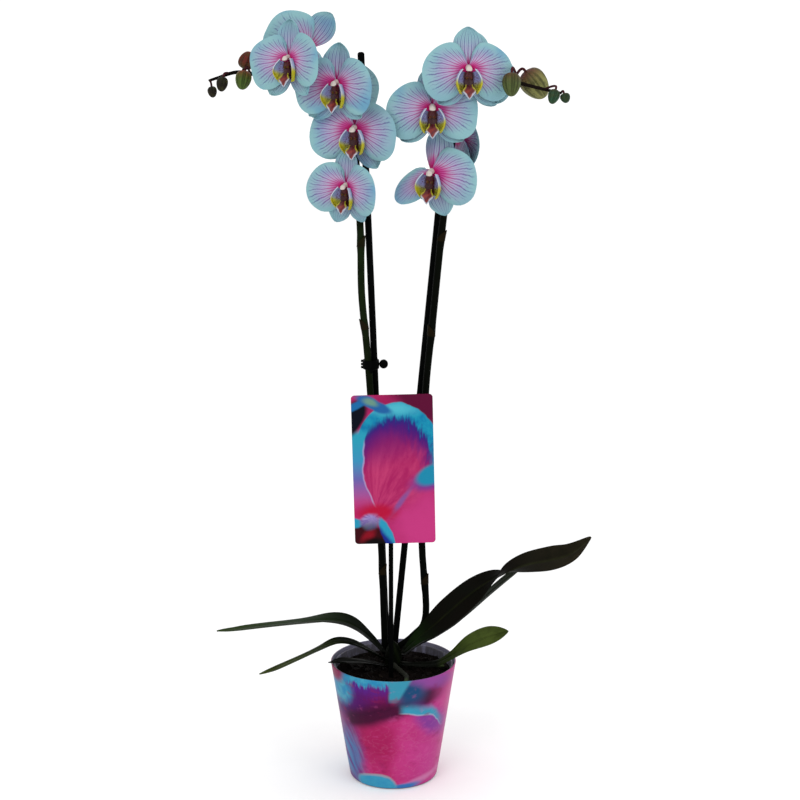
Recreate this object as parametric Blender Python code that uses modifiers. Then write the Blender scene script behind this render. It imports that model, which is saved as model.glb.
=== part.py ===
"""Potted orchid: a moth orchid with two flower spikes in its growing pot and printed cover pot.

Everything is in metres with +Z up.  The origin is the middle of the cover pot's base, and the
front of the plant is -Y.
"""

import math

import bmesh
import bpy
from mathutils import Matrix, Vector

# ---------------------------------------------------------------- driving dimensions

GAP = 0.0003                    # clearance left where two pieces touch

POT_HEIGHT = 0.120
POT_RIM_RADIUS = 0.0625
POT_BASE_RADIUS = 0.0440
POT_WALL = 0.0015
POT_FLOOR = 0.0020
POT_EDGE_RADIUS = 0.0030        # rounded bottom edge

LINER_PLAY = 0.0006             # growing pot to cover pot, measured across the walls
LINER_WALL = 0.0012
LINER_DROP = 0.0030             # growing pot's edge below the cover pot's rim
LINER_HOLE_RADIUS = 0.0035
LINER_HOLE_RING = 0.0240
LINER_HOLES = 6

BARK_DROP = 0.0110              # bark surface below the cover pot's rim
BARK_RELIEF = 0.0012            # height of the lumps in the bark surface

CROWN_Y = 0.0040
CROWN_RADIUS = 0.0085
CROWN_RISE = 0.0290             # crown above the bark surface
CROWN_DEPTH = 0.0300            # crown below the bark surface
ROOT_RADIUS = 0.0024

STAKE_RADIUS = 0.0033
STAKE_DEPTH = 0.0850            # stakes below the bark surface
STAKE_LEAN = -0.020             # change of y per metre of height
LEFT_STAKE_X = -0.0061          # at the bark surface
LEFT_STAKE_NESTLE = 0.0031      # how far the left stake sits in the nook between the two spikes
LEFT_STAKE_SLOPE = -0.0394              # change of x per metre of height
LEFT_STAKE_RISE = 0.6060                # top of the stake above the bark surface
RIGHT_STAKE_X = -0.0005
STAKE_CLEARANCE = 0.0004        # between the two stakes where they pass below the bark surface
RIGHT_STAKE_SLOPE = 0.0960
RIGHT_STAKE_RISE = 0.5260

SPIKE_RADIUS = 0.0034
SPIKE_TIP_RADIUS = 0.0012
PEDICEL_RADIUS = 0.0014

CLIP_RISE = 0.3100              # middle of the clip above the bark surface
CLIP_HEIGHT = 0.0090
CLIP_WALL = 0.0016
CLIP_KNOB_RADIUS = 0.0043

CARD_WIDTH = 0.0780
CARD_HEIGHT = 0.1470
CARD_THICKNESS = 0.0008
CARD_CORNER = 0.0035
CARD_RISE = 0.2143              # middle of the card above the bark surface
CARD_X = 0.0004
CARD_Y = -0.0300
CARD_TILT = math.radians(1.4)
LABEL_STICK_X = -0.0022
LABEL_STICK_WIDTH = 0.0046
LABEL_STICK_THICKNESS = 0.0020
LABEL_STICK_RISE = 0.2760
LABEL_STICK_DEPTH = 0.0600

LEAF_THICKNESS = 0.0018
FOOT_LENGTH = 0.0030            # straight start of a leaf or root, square to the crown's side
LEAF_FOLD = 0.22                # rise of the blade's edges over its half width

TEPAL_THICKNESS = 0.0008
TEPAL_SPACING = 0.0016          # petal sheet to sepal sheet at the middle of a flower
SEPAL_REACH = 0.0390
SEPAL_HALF_WIDTH = 0.0130
SEPAL_SWEEP = 0.10              # how far the sepals lie back, over their reach
PETAL_REACH = 0.0425
PETAL_HALF_HEIGHT = 0.0250
PETAL_LIFT = math.radians(6)
FLOWER_HUB = 0.0042             # radius of the disc where the tepals meet
COLUMN_LENGTH = 0.0100
LIP_TONGUE_LENGTH = 0.0170
LIP_WIDTH = 0.0230

BARK_LEVEL = POT_HEIGHT - BARK_DROP
CLIP_LEVEL = BARK_LEVEL + CLIP_RISE
LEFT_STAKE_Y = CROWN_Y + CROWN_RADIUS + 2 * SPIKE_RADIUS + STAKE_RADIUS - LEFT_STAKE_NESTLE
LEFT_STAKE_FOOT = (LEFT_STAKE_X, LEFT_STAKE_Y)
RIGHT_STAKE_FOOT = (RIGHT_STAKE_X, LEFT_STAKE_Y + 2 * STAKE_RADIUS + STAKE_CLEARANCE)
SOCKET_MARGIN = 0.0100          # cutters of the bark's sockets rise this far above the bark
SMOOTH = 1                      # points that are added to each stretch of a smooth path
PEDICEL_STEPS = 4
PEDICEL_NECK = 0.0020           # straight end of a pedicel

# ---------------------------------------------------------------- places of what grew
# Every height here is measured up from the bark surface.

# Centre, turn to the right of -Y, tilt up, roll, size, and bend of the left and right half.
LEFT_FLOWERS = (
    ((-0.0425, -0.045, 0.4870), -28, -4, -3, 0.90, -12, -16),
    ((-0.0345, -0.043, 0.5390), -18, -2, 0, 1.00, -8, -8),
    ((-0.0500, -0.057, 0.5800), -24, 2, 0, 0.96, -8, -14),
    ((-0.0930, -0.055, 0.6020), -30, 4, 4, 0.93, -8, -16),
    ((-0.0773, -0.016, 0.6121), 16, 0, -37, 1.00, 0, 10),
    ((-0.0540, 0.044, 0.5760), 170, 2, 0, 0.96, 0, 0),
)
RIGHT_FLOWERS = (
    ((0.0360, -0.038, 0.4990), -18, -2, -4, 1.02, 50, 4),
    ((0.0360, -0.050, 0.5580), 0, 2, 0, 0.99, -4, -4),
    ((0.0680, -0.062, 0.5930), 3, 4, 0, 0.99, -4, 14),
    ((0.0640, 0.024, 0.5270), 112, 0, 0, 0.95, 0, 0),
    ((0.0760, 0.042, 0.5890), 168, 0, 8, 0.96, 0, 0),
)
PEDICEL_DROP = 0.012            # a flower's pedicel leaves the spike this far below the flower
PEDICEL_LIFT = 0.05             # how steeply a pedicel rises where it leaves the spike

# Where the bud's pedicel leaves the spike (x), the bud's base, its tip and its width.
LEFT_BUDS = (
    (-0.1690, (-0.1675, -0.0190, 0.5763), (-0.1660, -0.0210, 0.5662), 0.0085),
    (-0.1500, (-0.1565, -0.0190, 0.5850), (-0.1588, -0.0215, 0.5717), 0.0105),
    (-0.1310, (-0.1360, -0.0215, 0.5908), (-0.1396, -0.0240, 0.5735), 0.0145),
    (-0.1240, (-0.1390, -0.0030, 0.5920), (-0.1325, -0.0040, 0.6075), 0.0150),
)
RIGHT_BUDS = (
    (0.1143, (0.1070, -0.0630, 0.5895), (0.1062, -0.0690, 0.5689), 0.0165),
    (0.1120, (0.1222, -0.0210, 0.5900), (0.1409, -0.0160, 0.5664), 0.0245),
    (0.1390, (0.1482, -0.0450, 0.5743), (0.1443, -0.0480, 0.5615), 0.0105),
    (0.1536, (0.1558, -0.0450, 0.5708), (0.1583, -0.0475, 0.5624), 0.0090),
)

# The course of each spike above its foot beside the crown.
LEFT_SPIKE_FOOT = 135
LEFT_SPIKE_COURSE = (
    (-0.0092, 0.0112, 0.0420),
    (-0.0122, 0.0090, 0.1300),
    (-0.0178, 0.0078, 0.2110),
    (-0.0225, 0.0070, 0.2860),
    (-0.0258, 0.0062, 0.3305),
    (-0.0303, 0.0040, 0.3810),
    (-0.0310, 0.0020, 0.4367),
    (-0.0345, -0.0005, 0.5010),
    (-0.0400, -0.0010, 0.5510),
    (-0.0540, 0.0080, 0.5800),
    (-0.0740, 0.0240, 0.5870),
    (-0.0980, 0.0140, 0.5875),
    (-0.1250, -0.0060, 0.5870),
    (-0.1450, -0.0105, 0.5890),
    (-0.1620, -0.0130, 0.5840),
    (-0.1700, -0.0150, 0.5815),
)
RIGHT_SPIKE_FOOT = 98
RIGHT_SPIKE_COURSE = (
    (0.0200, 0.0150, 0.0310),
    (0.0325, 0.0110, 0.0550),
    (0.0283, 0.0085, 0.1300),
    (0.0295, 0.0080, 0.2110),
    (0.0318, 0.0075, 0.2860),
    (0.0380, 0.0060, 0.3510),
    (0.0447, 0.0040, 0.4224),
    (0.0505, 0.0015, 0.4760),
    (0.0556, -0.0005, 0.5216),
    (0.0620, -0.0005, 0.5560),
    (0.0760, -0.0080, 0.5810),
    (0.0946, -0.0280, 0.5866),
    (0.1143, -0.0350, 0.5802),
    (0.1389, -0.0370, 0.5740),
    (0.1536, -0.0390, 0.5708),
)
SPIKE_FOOT_RISE = 0.0140

# Each leaf: direction and height of its foot on the crown, foot half width and roll, then its course as
# (x, y, z, half width, roll), where the roll turns the blade about its own length.
LEAVES = {
    "leaf_left_long": (200, 0.0200, 0.0040, -10, (
        (-0.0230, 0.0000, 0.0330, 0.0075, -14),
        (-0.0400, -0.0020, 0.0470, 0.0125, -12),
        (-0.0600, -0.0040, 0.0530, 0.0150, -4),
        (-0.0900, -0.0060, 0.0520, 0.0150, 12),
        (-0.1250, -0.0080, 0.0490, 0.0130, 18),
        (-0.1550, -0.0100, 0.0460, 0.0090, 18),
        (-0.1750, -0.0110, 0.0445, 0.0015, 18),
    )),
    "leaf_left_low": (222, 0.0125, 0.0040, -6, (
        (-0.0200, -0.0130, 0.0230, 0.0055, -8),
        (-0.0370, -0.0230, 0.0350, 0.0080, -6),
        (-0.0540, -0.0320, 0.0405, 0.0095, 4),
        (-0.0720, -0.0390, 0.0360, 0.0095, 12),
        (-0.0950, -0.0450, 0.0270, 0.0085, 14),
        (-0.1150, -0.0490, 0.0190, 0.0060, 14),
        (-0.1300, -0.0510, 0.0145, 0.0015, 14),
    )),
    "leaf_rim": (226, 0.0060, 0.0036, -4, (
        (-0.0170, -0.0120, 0.0100, 0.0055, -4),
        (-0.0330, -0.0190, 0.0150, 0.0080, 0),
        (-0.0500, -0.0240, 0.0175, 0.0070, 4),
        (-0.0640, -0.0250, 0.0170, 0.0015, 6),
    )),
    "leaf_right_twisted": (350, 0.0200, 0.0045, 20, (
        (0.0250, 0.0000, 0.0340, 0.0075, 45),
        (0.0400, -0.0040, 0.0480, 0.0110, 66),
        (0.0560, -0.0070, 0.0640, 0.0135, 68),
        (0.0770, -0.0090, 0.0830, 0.0135, 56),
        (0.0980, -0.0100, 0.0980, 0.0125, 14),
        (0.1150, -0.0100, 0.1075, 0.0120, -44),
        (0.1330, -0.0100, 0.1140, 0.0130, -70),
        (0.1560, -0.0100, 0.1185, 0.0140, -74),
        (0.1750, -0.0100, 0.1250, 0.0105, -72),
        (0.1940, -0.0100, 0.1410, 0.0035, -66),
    )),
    "leaf_right_rear": (26, 0.0125, 0.0040, -6, (
        (0.0250, 0.0190, 0.0200, 0.0060, -10),
        (0.0450, 0.0260, 0.0280, 0.0090, -10),
        (0.0700, 0.0330, 0.0440, 0.0110, -8),
        (0.0980, 0.0370, 0.0680, 0.0110, -6),
        (0.1200, 0.0380, 0.0870, 0.0080, -4),
        (0.1320, 0.0380, 0.0970, 0.0015, -4),
    )),
    "leaf_right_small": (318, 0.0070, 0.0035, 10, (
        (0.0200, -0.0130, 0.0100, 0.0040, 14),
        (0.0400, -0.0220, 0.0140, 0.0045, 24),
        (0.0560, -0.0280, 0.0240, 0.0060, 34),
        (0.0750, -0.0340, 0.0390, 0.0095, 40),
        (0.0950, -0.0380, 0.0490, 0.0100, 40),
        (0.1120, -0.0400, 0.0550, 0.0030, 40),
    )),
}

# Aerial roots: direction and height of the foot, then the course over the bark as shares of
# the bark's radius.
ROOT_REST = BARK_RELIEF + GAP + ROOT_RADIUS
ROOTS = {
    "aerial_root_front": (276, 0.0070, ((0.14, -0.27), (0.23, -0.53), (0.21, -0.77))),
    "aerial_root_right": (352, 0.0055, ((0.42, 0.035), (0.67, 0.05), (0.88, 0.0))),
}

# ---------------------------------------------------------------- scene and materials


def clear_scene():
    for item in list(bpy.data.objects):
        bpy.data.objects.remove(item, do_unlink=True)


def new_collection(name):
    collection = bpy.data.collections.new(name)
    bpy.context.scene.collection.children.link(collection)
    return collection


clear_scene()
PARTS = new_collection("potted_orchid")
CUTTERS = new_collection("cutters")


def material(name, colour, roughness):
    made = bpy.data.materials.new(name)
    made.use_nodes = True
    shader = made.node_tree.nodes["Principled BSDF"]
    shader.inputs["Base Color"].default_value = (*colour, 1.0)
    shader.inputs["Roughness"].default_value = roughness
    shader.inputs["Metallic"].default_value = 0.0
    made.diffuse_color = (*colour, 1.0)
    return made


def finish(item, name, finish_material):
    """Name an object, give it its finish and put it with the parts."""
    item.name = name
    item.data.name = name
    item.data.materials.clear()
    item.data.materials.append(finish_material)
    for collection in list(item.users_collection):
        collection.objects.unlink(item)
    PARTS.objects.link(item)
    return item


def as_cutter(item, name):
    item.name = name
    item.hide_render = True
    item.display_type = "WIRE"
    for collection in list(item.users_collection):
        collection.objects.unlink(item)
    CUTTERS.objects.link(item)
    return item


def new_object(name, data):
    item = bpy.data.objects.new(name, data)
    bpy.context.scene.collection.objects.link(item)
    return item


def smooth_shaded(item):
    item.data.shade_smooth()
    return item


# ---------------------------------------------------------------- shape tools


def turned(name, profile, steps=48):
    """A solid of revolution about Z from (radius, height) points that run down the outer side."""
    mesh = bpy.data.meshes.new(name)
    edges = [(i, i + 1) for i in range(len(profile) - 1)]
    mesh.from_pydata([(radius, 0.0, height) for radius, height in profile], edges, [])
    item = new_object(name, mesh)
    screw = item.modifiers.new("turn", "SCREW")
    screw.steps = steps
    screw.render_steps = steps
    screw.use_merge_vertices = True
    screw.merge_threshold = 0.00005
    screw.use_smooth_shade = True
    return item


def plain_mesh(item):
    """Replace an object by its evaluated mesh, with a curve's caps welded."""
    graph = bpy.context.evaluated_depsgraph_get()
    mesh = bpy.data.meshes.new_from_object(item.evaluated_get(graph))
    build = bmesh.new()
    build.from_mesh(mesh)
    bmesh.ops.remove_doubles(build, verts=build.verts, dist=0.000005)
    bmesh.ops.recalc_face_normals(build, faces=build.faces)
    build.to_mesh(mesh)
    build.free()
    made = new_object(item.name, mesh)
    made.matrix_world = item.matrix_world.copy()
    bpy.data.objects.remove(item, do_unlink=True)
    return smooth_shaded(made)


def joined(name, items):
    """One object with the meshes of several, in world space."""
    build = bmesh.new()
    for item in items:
        bpy.context.view_layer.update()
        mesh = item.data.copy()
        mesh.transform(item.matrix_world)
        build.from_mesh(mesh)
        bpy.data.meshes.remove(mesh)
        bpy.data.objects.remove(item, do_unlink=True)
    mesh = bpy.data.meshes.new(name)
    build.to_mesh(mesh)
    build.free()
    return new_object(name, mesh)


def boolean(item, cutter, operation):
    cut = item.modifiers.new(cutter.name, "BOOLEAN")
    cut.operation = operation
    cut.solver = "EXACT"
    cut.use_self = operation == "UNION"
    cut.object = cutter
    return item


def catmull(before, start, end, after, share):
    """A point on the smooth curve from start to end."""
    square = share * share
    cube = square * share
    return [
        0.5 * (2 * b + (c - a) * share + (2 * a - 5 * b + 4 * c - d) * square
               + (3 * b - a - 3 * c + d) * cube)
        for a, b, c, d in zip(before, start, end, after)
    ]


def smooth_path(points, added=SMOOTH):
    """The points of a smooth curve through the given rows of numbers."""
    rows = [points[0], *points, points[-1]]
    path = []
    for i in range(1, len(rows) - 2):
        for step in range(added + 1):
            path.append(catmull(rows[i - 1], rows[i], rows[i + 1], rows[i + 2], step / (added + 1)))
    path.append(list(points[-1]))
    return path


def tube(name, points, radii, resolution=2):
    """A round tube on a poly line, with a radius for each point."""
    curve = bpy.data.curves.new(name, "CURVE")
    curve.dimensions = "3D"
    curve.bevel_depth = max(radii)
    curve.bevel_resolution = resolution
    curve.use_fill_caps = True
    spline = curve.splines.new("POLY")
    spline.points.add(len(points) - 1)
    for knot, point, radius in zip(spline.points, points, radii):
        knot.co = (*point, 1.0)
        knot.radius = radius / curve.bevel_depth
    return new_object(name, curve)


def rod(name, start, end, radius, sides=16):
    """A straight round rod between two points."""
    start, end = Vector(start), Vector(end)
    mesh = bpy.data.meshes.new(name)
    build = bmesh.new()
    bmesh.ops.create_cone(build, cap_ends=True, segments=sides, radius1=radius, radius2=radius,
                          depth=(end - start).length)
    build.to_mesh(mesh)
    build.free()
    item = new_object(name, mesh)
    item.rotation_mode = "QUATERNION"
    item.rotation_quaternion = (end - start).to_track_quat("Z", "Y")
    item.location = (start + end) / 2
    return smooth_shaded(item)


def box(name, size, centre):
    mesh = bpy.data.meshes.new(name)
    build = bmesh.new()
    bmesh.ops.create_cube(build, size=1.0)
    bmesh.ops.scale(build, vec=size, verts=build.verts)
    build.to_mesh(mesh)
    build.free()
    item = new_object(name, mesh)
    item.location = centre
    return item


def bevelled(item, width, segments=2):
    bevel = item.modifiers.new("rounded edges", "BEVEL")
    bevel.width = width
    bevel.segments = segments
    return item


def arc(centre, radius, start, end, count):
    """Points of an arc in a plane, with its two ends, from angles in degrees."""
    points = []
    for i in range(count + 1):
        angle = math.radians(start + (end - start) * i / count)
        points.append((centre[0] + radius * math.cos(angle), centre[1] + radius * math.sin(angle)))
    return points


def flat_plate(name, outlines, thickness):
    """A plate from closed outlines in XY, where an inner outline is a hole."""
    curve = bpy.data.curves.new(name, "CURVE")
    curve.dimensions = "2D"
    curve.fill_mode = "BOTH"
    curve.extrude = thickness / 2
    for outline in outlines:
        spline = curve.splines.new("POLY")
        spline.points.add(len(outline) - 1)
        spline.use_cyclic_u = True
        for knot, (x, y) in zip(spline.points, outline):
            knot.co = (x, y, 0.0, 1.0)
    return new_object(name, curve)


def grid_faces(build, rows):
    for first, second in zip(rows, rows[1:]):
        for a, b, c, d in zip(first, first[1:], second[1:], second):
            build.faces.new((a, b, c, d))


def thickened(item, thickness, offset):
    shell = item.modifiers.new("thickness", "SOLIDIFY")
    shell.thickness = thickness
    shell.offset = offset
    shell.use_even_offset = False
    return item


# ---------------------------------------------------------------- pots and bark


def pot_radius(height):
    """Outer radius of the cover pot's straight taper."""
    return POT_BASE_RADIUS + (POT_RIM_RADIUS - POT_BASE_RADIUS) * height / POT_HEIGHT


def liner_radius(height):
    return pot_radius(height) - POT_WALL - LINER_PLAY


def bark_radius(height):
    return liner_radius(height) - LINER_WALL - GAP


def make_outer_pot(finish_material):
    edge = arc((POT_BASE_RADIUS - POT_EDGE_RADIUS, POT_EDGE_RADIUS), POT_EDGE_RADIUS, -8, -90, 4)
    rim = arc((POT_RIM_RADIUS - POT_WALL / 2, POT_HEIGHT - POT_WALL / 2), POT_WALL / 2, 180, 0, 4)
    inner_floor = (pot_radius(POT_FLOOR) - POT_WALL, POT_FLOOR)
    profile = [(0.0, POT_FLOOR), inner_floor, *rim, *edge, (0.0, 0.0)]
    return finish(turned("outer_pot", profile), "outer_pot", finish_material)


def make_growing_pot(finish_material):
    floor = POT_FLOOR + GAP
    top = POT_HEIGHT - LINER_DROP
    profile = [
        (0.0, floor + LINER_WALL),
        (liner_radius(floor) - LINER_WALL, floor + LINER_WALL),
        (liner_radius(top) - LINER_WALL, top),
        (liner_radius(top), top),
        (liner_radius(floor), floor),
        (0.0, floor),
    ]
    pot = plain_mesh(turned("growing_pot", profile))
    holes = []
    for i in range(LINER_HOLES):
        angle = 2 * math.pi * i / LINER_HOLES
        x, y = LINER_HOLE_RING * math.cos(angle), LINER_HOLE_RING * math.sin(angle)
        low, high = floor - LINER_WALL, floor + 2 * LINER_WALL
        holes.append(rod("hole", (x, y, low), (x, y, high), LINER_HOLE_RADIUS, 12))
    boolean(pot, as_cutter(joined("drain_holes", holes), "drain_holes"), "DIFFERENCE")
    return finish(pot, "growing_pot", finish_material)


def crown_profile(grow, top):
    """The crown's outline; grow widens it for the socket, and top is its highest point."""
    low = BARK_LEVEL - CROWN_DEPTH
    radius = CROWN_RADIUS + grow
    return [
        (0.0, top),
        (radius * 0.45, top - grow - 0.0010),
        (radius * 0.80, top - 0.0050),
        (radius, top - 0.0110),
        (radius, low + 0.0100),
        (radius * 0.6, low - grow),
        (0.0, low - grow),
    ]


def above_bark(point):
    """The place of a point whose height is measured from the bark surface."""
    return Vector((point[0], point[1], point[2] + BARK_LEVEL))


def stake_point(foot, slope, rise):
    return above_bark((foot[0] + slope * rise, foot[1] + STAKE_LEAN * rise, rise))


def make_bark(finish_material):
    low = POT_FLOOR + GAP + LINER_WALL + GAP
    edge = bark_radius(BARK_LEVEL)
    rings = [(edge * share, BARK_LEVEL) for share in (0.0, 0.2, 0.4, 0.6, 0.8, 1.0)]
    bark = plain_mesh(turned("potting_bark", [*rings, (bark_radius(low), low), (0.0, low)], 36))
    for vertex in bark.data.vertices:
        if vertex.co.z > BARK_LEVEL - GAP and vertex.co.xy.length < edge * 0.95:
            wave = math.sin(210 * vertex.co.x + 1.0) * math.cos(170 * vertex.co.y)
            vertex.co.z += BARK_RELIEF * wave
    sockets = []
    for foot, slope in ((LEFT_STAKE_FOOT, LEFT_STAKE_SLOPE), (RIGHT_STAKE_FOOT, RIGHT_STAKE_SLOPE)):
        start = stake_point(foot, slope, -STAKE_DEPTH - GAP)
        end = stake_point(foot, slope, SOCKET_MARGIN)
        sockets.append(rod("socket", start, end, STAKE_RADIUS + GAP))
    bottom = BARK_LEVEL - LABEL_STICK_DEPTH - GAP
    high = BARK_LEVEL + SOCKET_MARGIN
    size = (LABEL_STICK_WIDTH + 2 * GAP, LABEL_STICK_THICKNESS + 2 * GAP, high - bottom)
    sockets.append(box("socket", size, (LABEL_STICK_X, label_stick_y(), (high + bottom) / 2)))
    crown = plain_mesh(turned("socket", crown_profile(GAP, BARK_LEVEL + CROWN_RISE), 20))
    crown.location.y = CROWN_Y
    sockets.append(crown)
    boolean(bark, as_cutter(joined("sockets", sockets), "sockets"), "DIFFERENCE")
    return finish(bark, "potting_bark", finish_material)


# ---------------------------------------------------------------- supports and label


def make_stake(name, foot, slope, rise, finish_material):
    start = stake_point(foot, slope, -STAKE_DEPTH)
    stake = rod(name, start, stake_point(foot, slope, rise), STAKE_RADIUS)
    return finish(stake, name, finish_material)


def label_stick_y():
    return CARD_Y + CARD_THICKNESS / 2 + GAP + LABEL_STICK_THICKNESS / 2


def make_label_stick(finish_material):
    low = BARK_LEVEL - LABEL_STICK_DEPTH
    high = BARK_LEVEL + LABEL_STICK_RISE
    size = (LABEL_STICK_WIDTH, LABEL_STICK_THICKNESS, high - low)
    centre = (LABEL_STICK_X, label_stick_y(), (high + low) / 2)
    return finish(bevelled(box("label_stick", size, centre), 0.0005), "label_stick", finish_material)


def make_label_card(finish_material):
    x, y = CARD_WIDTH / 2 - CARD_CORNER, CARD_HEIGHT / 2 - CARD_CORNER
    outline = []
    for i, (across, up) in enumerate(((x, y), (-x, y), (-x, -y), (x, -y))):
        outline += arc((across, up), CARD_CORNER, 90 * i, 90 * i + 90, 4)
    card = plain_mesh(flat_plate("label_card", [outline], CARD_THICKNESS))
    upright = Matrix.Rotation(math.pi / 2, 4, "X")
    tilt = Matrix.Rotation(-CARD_TILT, 4, "Y")
    card.matrix_world = Matrix.Translation(above_bark((CARD_X, CARD_Y, CARD_RISE))) @ tilt @ upright
    return finish(card, "label_card", finish_material)


def hull_of_rounds(first, second, first_radius, second_radius):
    """The outline that wraps two circles, as two arcs joined by straight lines."""
    line = Vector(second) - Vector(first)
    heading = math.degrees(math.atan2(line.y, line.x))
    lean = math.degrees(math.asin((first_radius - second_radius) / line.length))
    far = arc(second, second_radius, heading - 90 + lean, heading + 90 - lean, 8)
    near = arc(first, first_radius, heading + 90 - lean, heading + 270 + lean, 8)
    return far + near


def make_clip(spike_path, finish_material):
    spike = point_at_height(spike_path, CLIP_LEVEL).xy
    stake = stake_point(LEFT_STAKE_FOOT, LEFT_STAKE_SLOPE, CLIP_RISE).xy
    play = 2 * GAP
    inner = hull_of_rounds(spike, stake, SPIKE_RADIUS + play, STAKE_RADIUS + play)
    outer = hull_of_rounds(spike, stake, SPIKE_RADIUS + play + CLIP_WALL, STAKE_RADIUS + play + CLIP_WALL)
    band = plain_mesh(flat_plate("stem_clip", [outer, inner], CLIP_HEIGHT))
    band.location.z = CLIP_LEVEL
    reach = STAKE_RADIUS + play + CLIP_WALL / 2
    knob = Vector((stake.x + reach + CLIP_KNOB_RADIUS, stake.y, CLIP_LEVEL))
    depth = Vector((0.0, 0.0020, 0.0))
    button = rod("knob", knob - depth, knob + depth, CLIP_KNOB_RADIUS, 20)
    boolean(band, as_cutter(button, "clip_knob"), "UNION")
    return finish(band, "stem_clip", finish_material)


# ---------------------------------------------------------------- crown, roots and leaves


def beside_crown(direction, rise, away):
    """A point beside the crown, above the bark, away from the crown's side by a clear distance."""
    angle = math.radians(direction)
    reach = CROWN_RADIUS + GAP + away
    return (reach * math.cos(angle), CROWN_Y + reach * math.sin(angle), rise)


def crown_foot(direction, rise):
    """The straight start of what grows from the crown's side: two points, square to it."""
    return beside_crown(direction, rise, 0.0), beside_crown(direction, rise, FOOT_LENGTH)


def make_crown(finish_material):
    crown = turned("plant_crown", crown_profile(0.0, BARK_LEVEL + CROWN_RISE), 20)
    crown.location.y = CROWN_Y
    return finish(crown, "plant_crown", finish_material)


def make_root(name, direction, rise, course, finish_material):
    edge = bark_radius(BARK_LEVEL)
    course = [(edge * x, edge * y, ROOT_REST) for x, y in course]
    start = crown_foot(direction, rise)
    path = [above_bark(point) for point in [start[0], *smooth_path([start[1], *course])]]
    radii = [ROOT_RADIUS] * (len(path) - 1) + [ROOT_RADIUS * 0.6]
    return finish(tube(name, path, radii), name, finish_material)


def make_leaf(name, direction, rise, foot_half_width, foot_roll, course, finish_material):
    """A strap leaf: a folded sheet lofted along its course, then given its thickness."""
    start = [(*point, foot_half_width, foot_roll) for point in crown_foot(direction, rise)]
    path = [start[0], *smooth_path([start[1], *course])]
    build = bmesh.new()
    rows = []
    for i, (x, y, z, half_width, roll) in enumerate(path):
        ahead = Vector(path[min(i + 1, len(path) - 1)][:3])
        behind = Vector(path[max(i - 1, 0)][:3])
        along = (ahead - behind).normalized()
        face = Vector((0, 0, 1)) - along * along.z
        face = Matrix.Rotation(math.radians(roll), 3, along) @ face.normalized()
        side = face.cross(along)
        half_width = max(half_width, 0.001)
        row = []
        for across in (-1.0, 0.0, 1.0):
            edge = side * across * half_width + face * LEAF_FOLD * half_width * abs(across)
            row.append(build.verts.new(above_bark((x, y, z)) + edge))
        rows.append(row)
    grid_faces(build, rows)
    mesh = bpy.data.meshes.new(name)
    build.to_mesh(mesh)
    build.free()
    leaf = smooth_shaded(new_object(name, mesh))
    return finish(thickened(leaf, LEAF_THICKNESS, 0.0), name, finish_material)


# ---------------------------------------------------------------- spikes and buds


def spike_path(foot_direction, course):
    foot = beside_crown(foot_direction, SPIKE_FOOT_RISE, SPIKE_RADIUS)
    return [above_bark(point) for point in smooth_path([foot, *course])]


def nearest_on(path, target):
    return min(path, key=lambda point: (point - Vector(target)).length)


def point_at_x(path, x):
    return min(path[len(path) // 2:], key=lambda point: abs(point.x - x))


def point_at_height(path, height):
    for low, high in zip(path, path[1:]):
        if low.z <= height <= high.z:
            return low.lerp(high, (height - low.z) / (high.z - low.z))
    return path[-1]


def pedicel(start, end, arrival, lift):
    """A stalk that leaves the spike at start and meets end along the arrival direction."""
    meet_end = end - arrival * PEDICEL_NECK
    reach = (meet_end - start).length
    leave = start + Vector((0, 0, lift * reach))
    meet = meet_end - arrival * reach * 0.35
    path = []
    for i in range(PEDICEL_STEPS + 1):
        t = i / PEDICEL_STEPS
        s = 1 - t
        path.append(start * s**3 + leave * 3 * s * s * t + meet * 3 * s * t * t + meet_end * t**3)
    path.append(end)
    return tube("pedicel", path, [PEDICEL_RADIUS] * len(path), 1)


def make_spike(name, path, flowers, buds, finish_material):
    """Peduncle, rachis and pedicels, which grew as one piece."""
    pedicels = []
    for place, turn, tilt, roll, size, left_bend, right_bend in flowers:
        facing = flower_frame(place, turn, tilt, roll, 1.0).to_3x3() @ Vector((0, 0, 1))
        place = above_bark(place)
        start = nearest_on(path, place - Vector((0, 0, PEDICEL_DROP)))
        bend = math.radians(max(0, left_bend, right_bend))
        behind = (TEPAL_SPACING + TEPAL_THICKNESS / 2) * size
        back = behind + (PEDICEL_RADIUS + TEPAL_THICKNESS) * math.sin(bend) + 2 * GAP
        pedicels.append(pedicel(start, place - facing * back, facing, PEDICEL_LIFT))
    for leave_x, base, tip, _ in buds:
        base, tip = above_bark(base), above_bark(tip)
        axis = (tip - base).normalized()
        start = point_at_x(path, leave_x)
        pedicels.append(pedicel(start, base - axis * GAP, axis, PEDICEL_LIFT))
    last = len(path) - 1
    radii = []
    for i in range(len(path)):
        taper = max(0.0, i / last - 0.5) * 2
        radii.append(SPIKE_RADIUS + (SPIKE_TIP_RADIUS - SPIKE_RADIUS) * taper)
    spike = plain_mesh(tube(name, path, radii))
    stalks = joined(name + "_pedicels", [plain_mesh(stalk) for stalk in pedicels])
    boolean(spike, as_cutter(stalks, name + "_pedicels"), "UNION")
    return finish(spike, name, finish_material)


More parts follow.
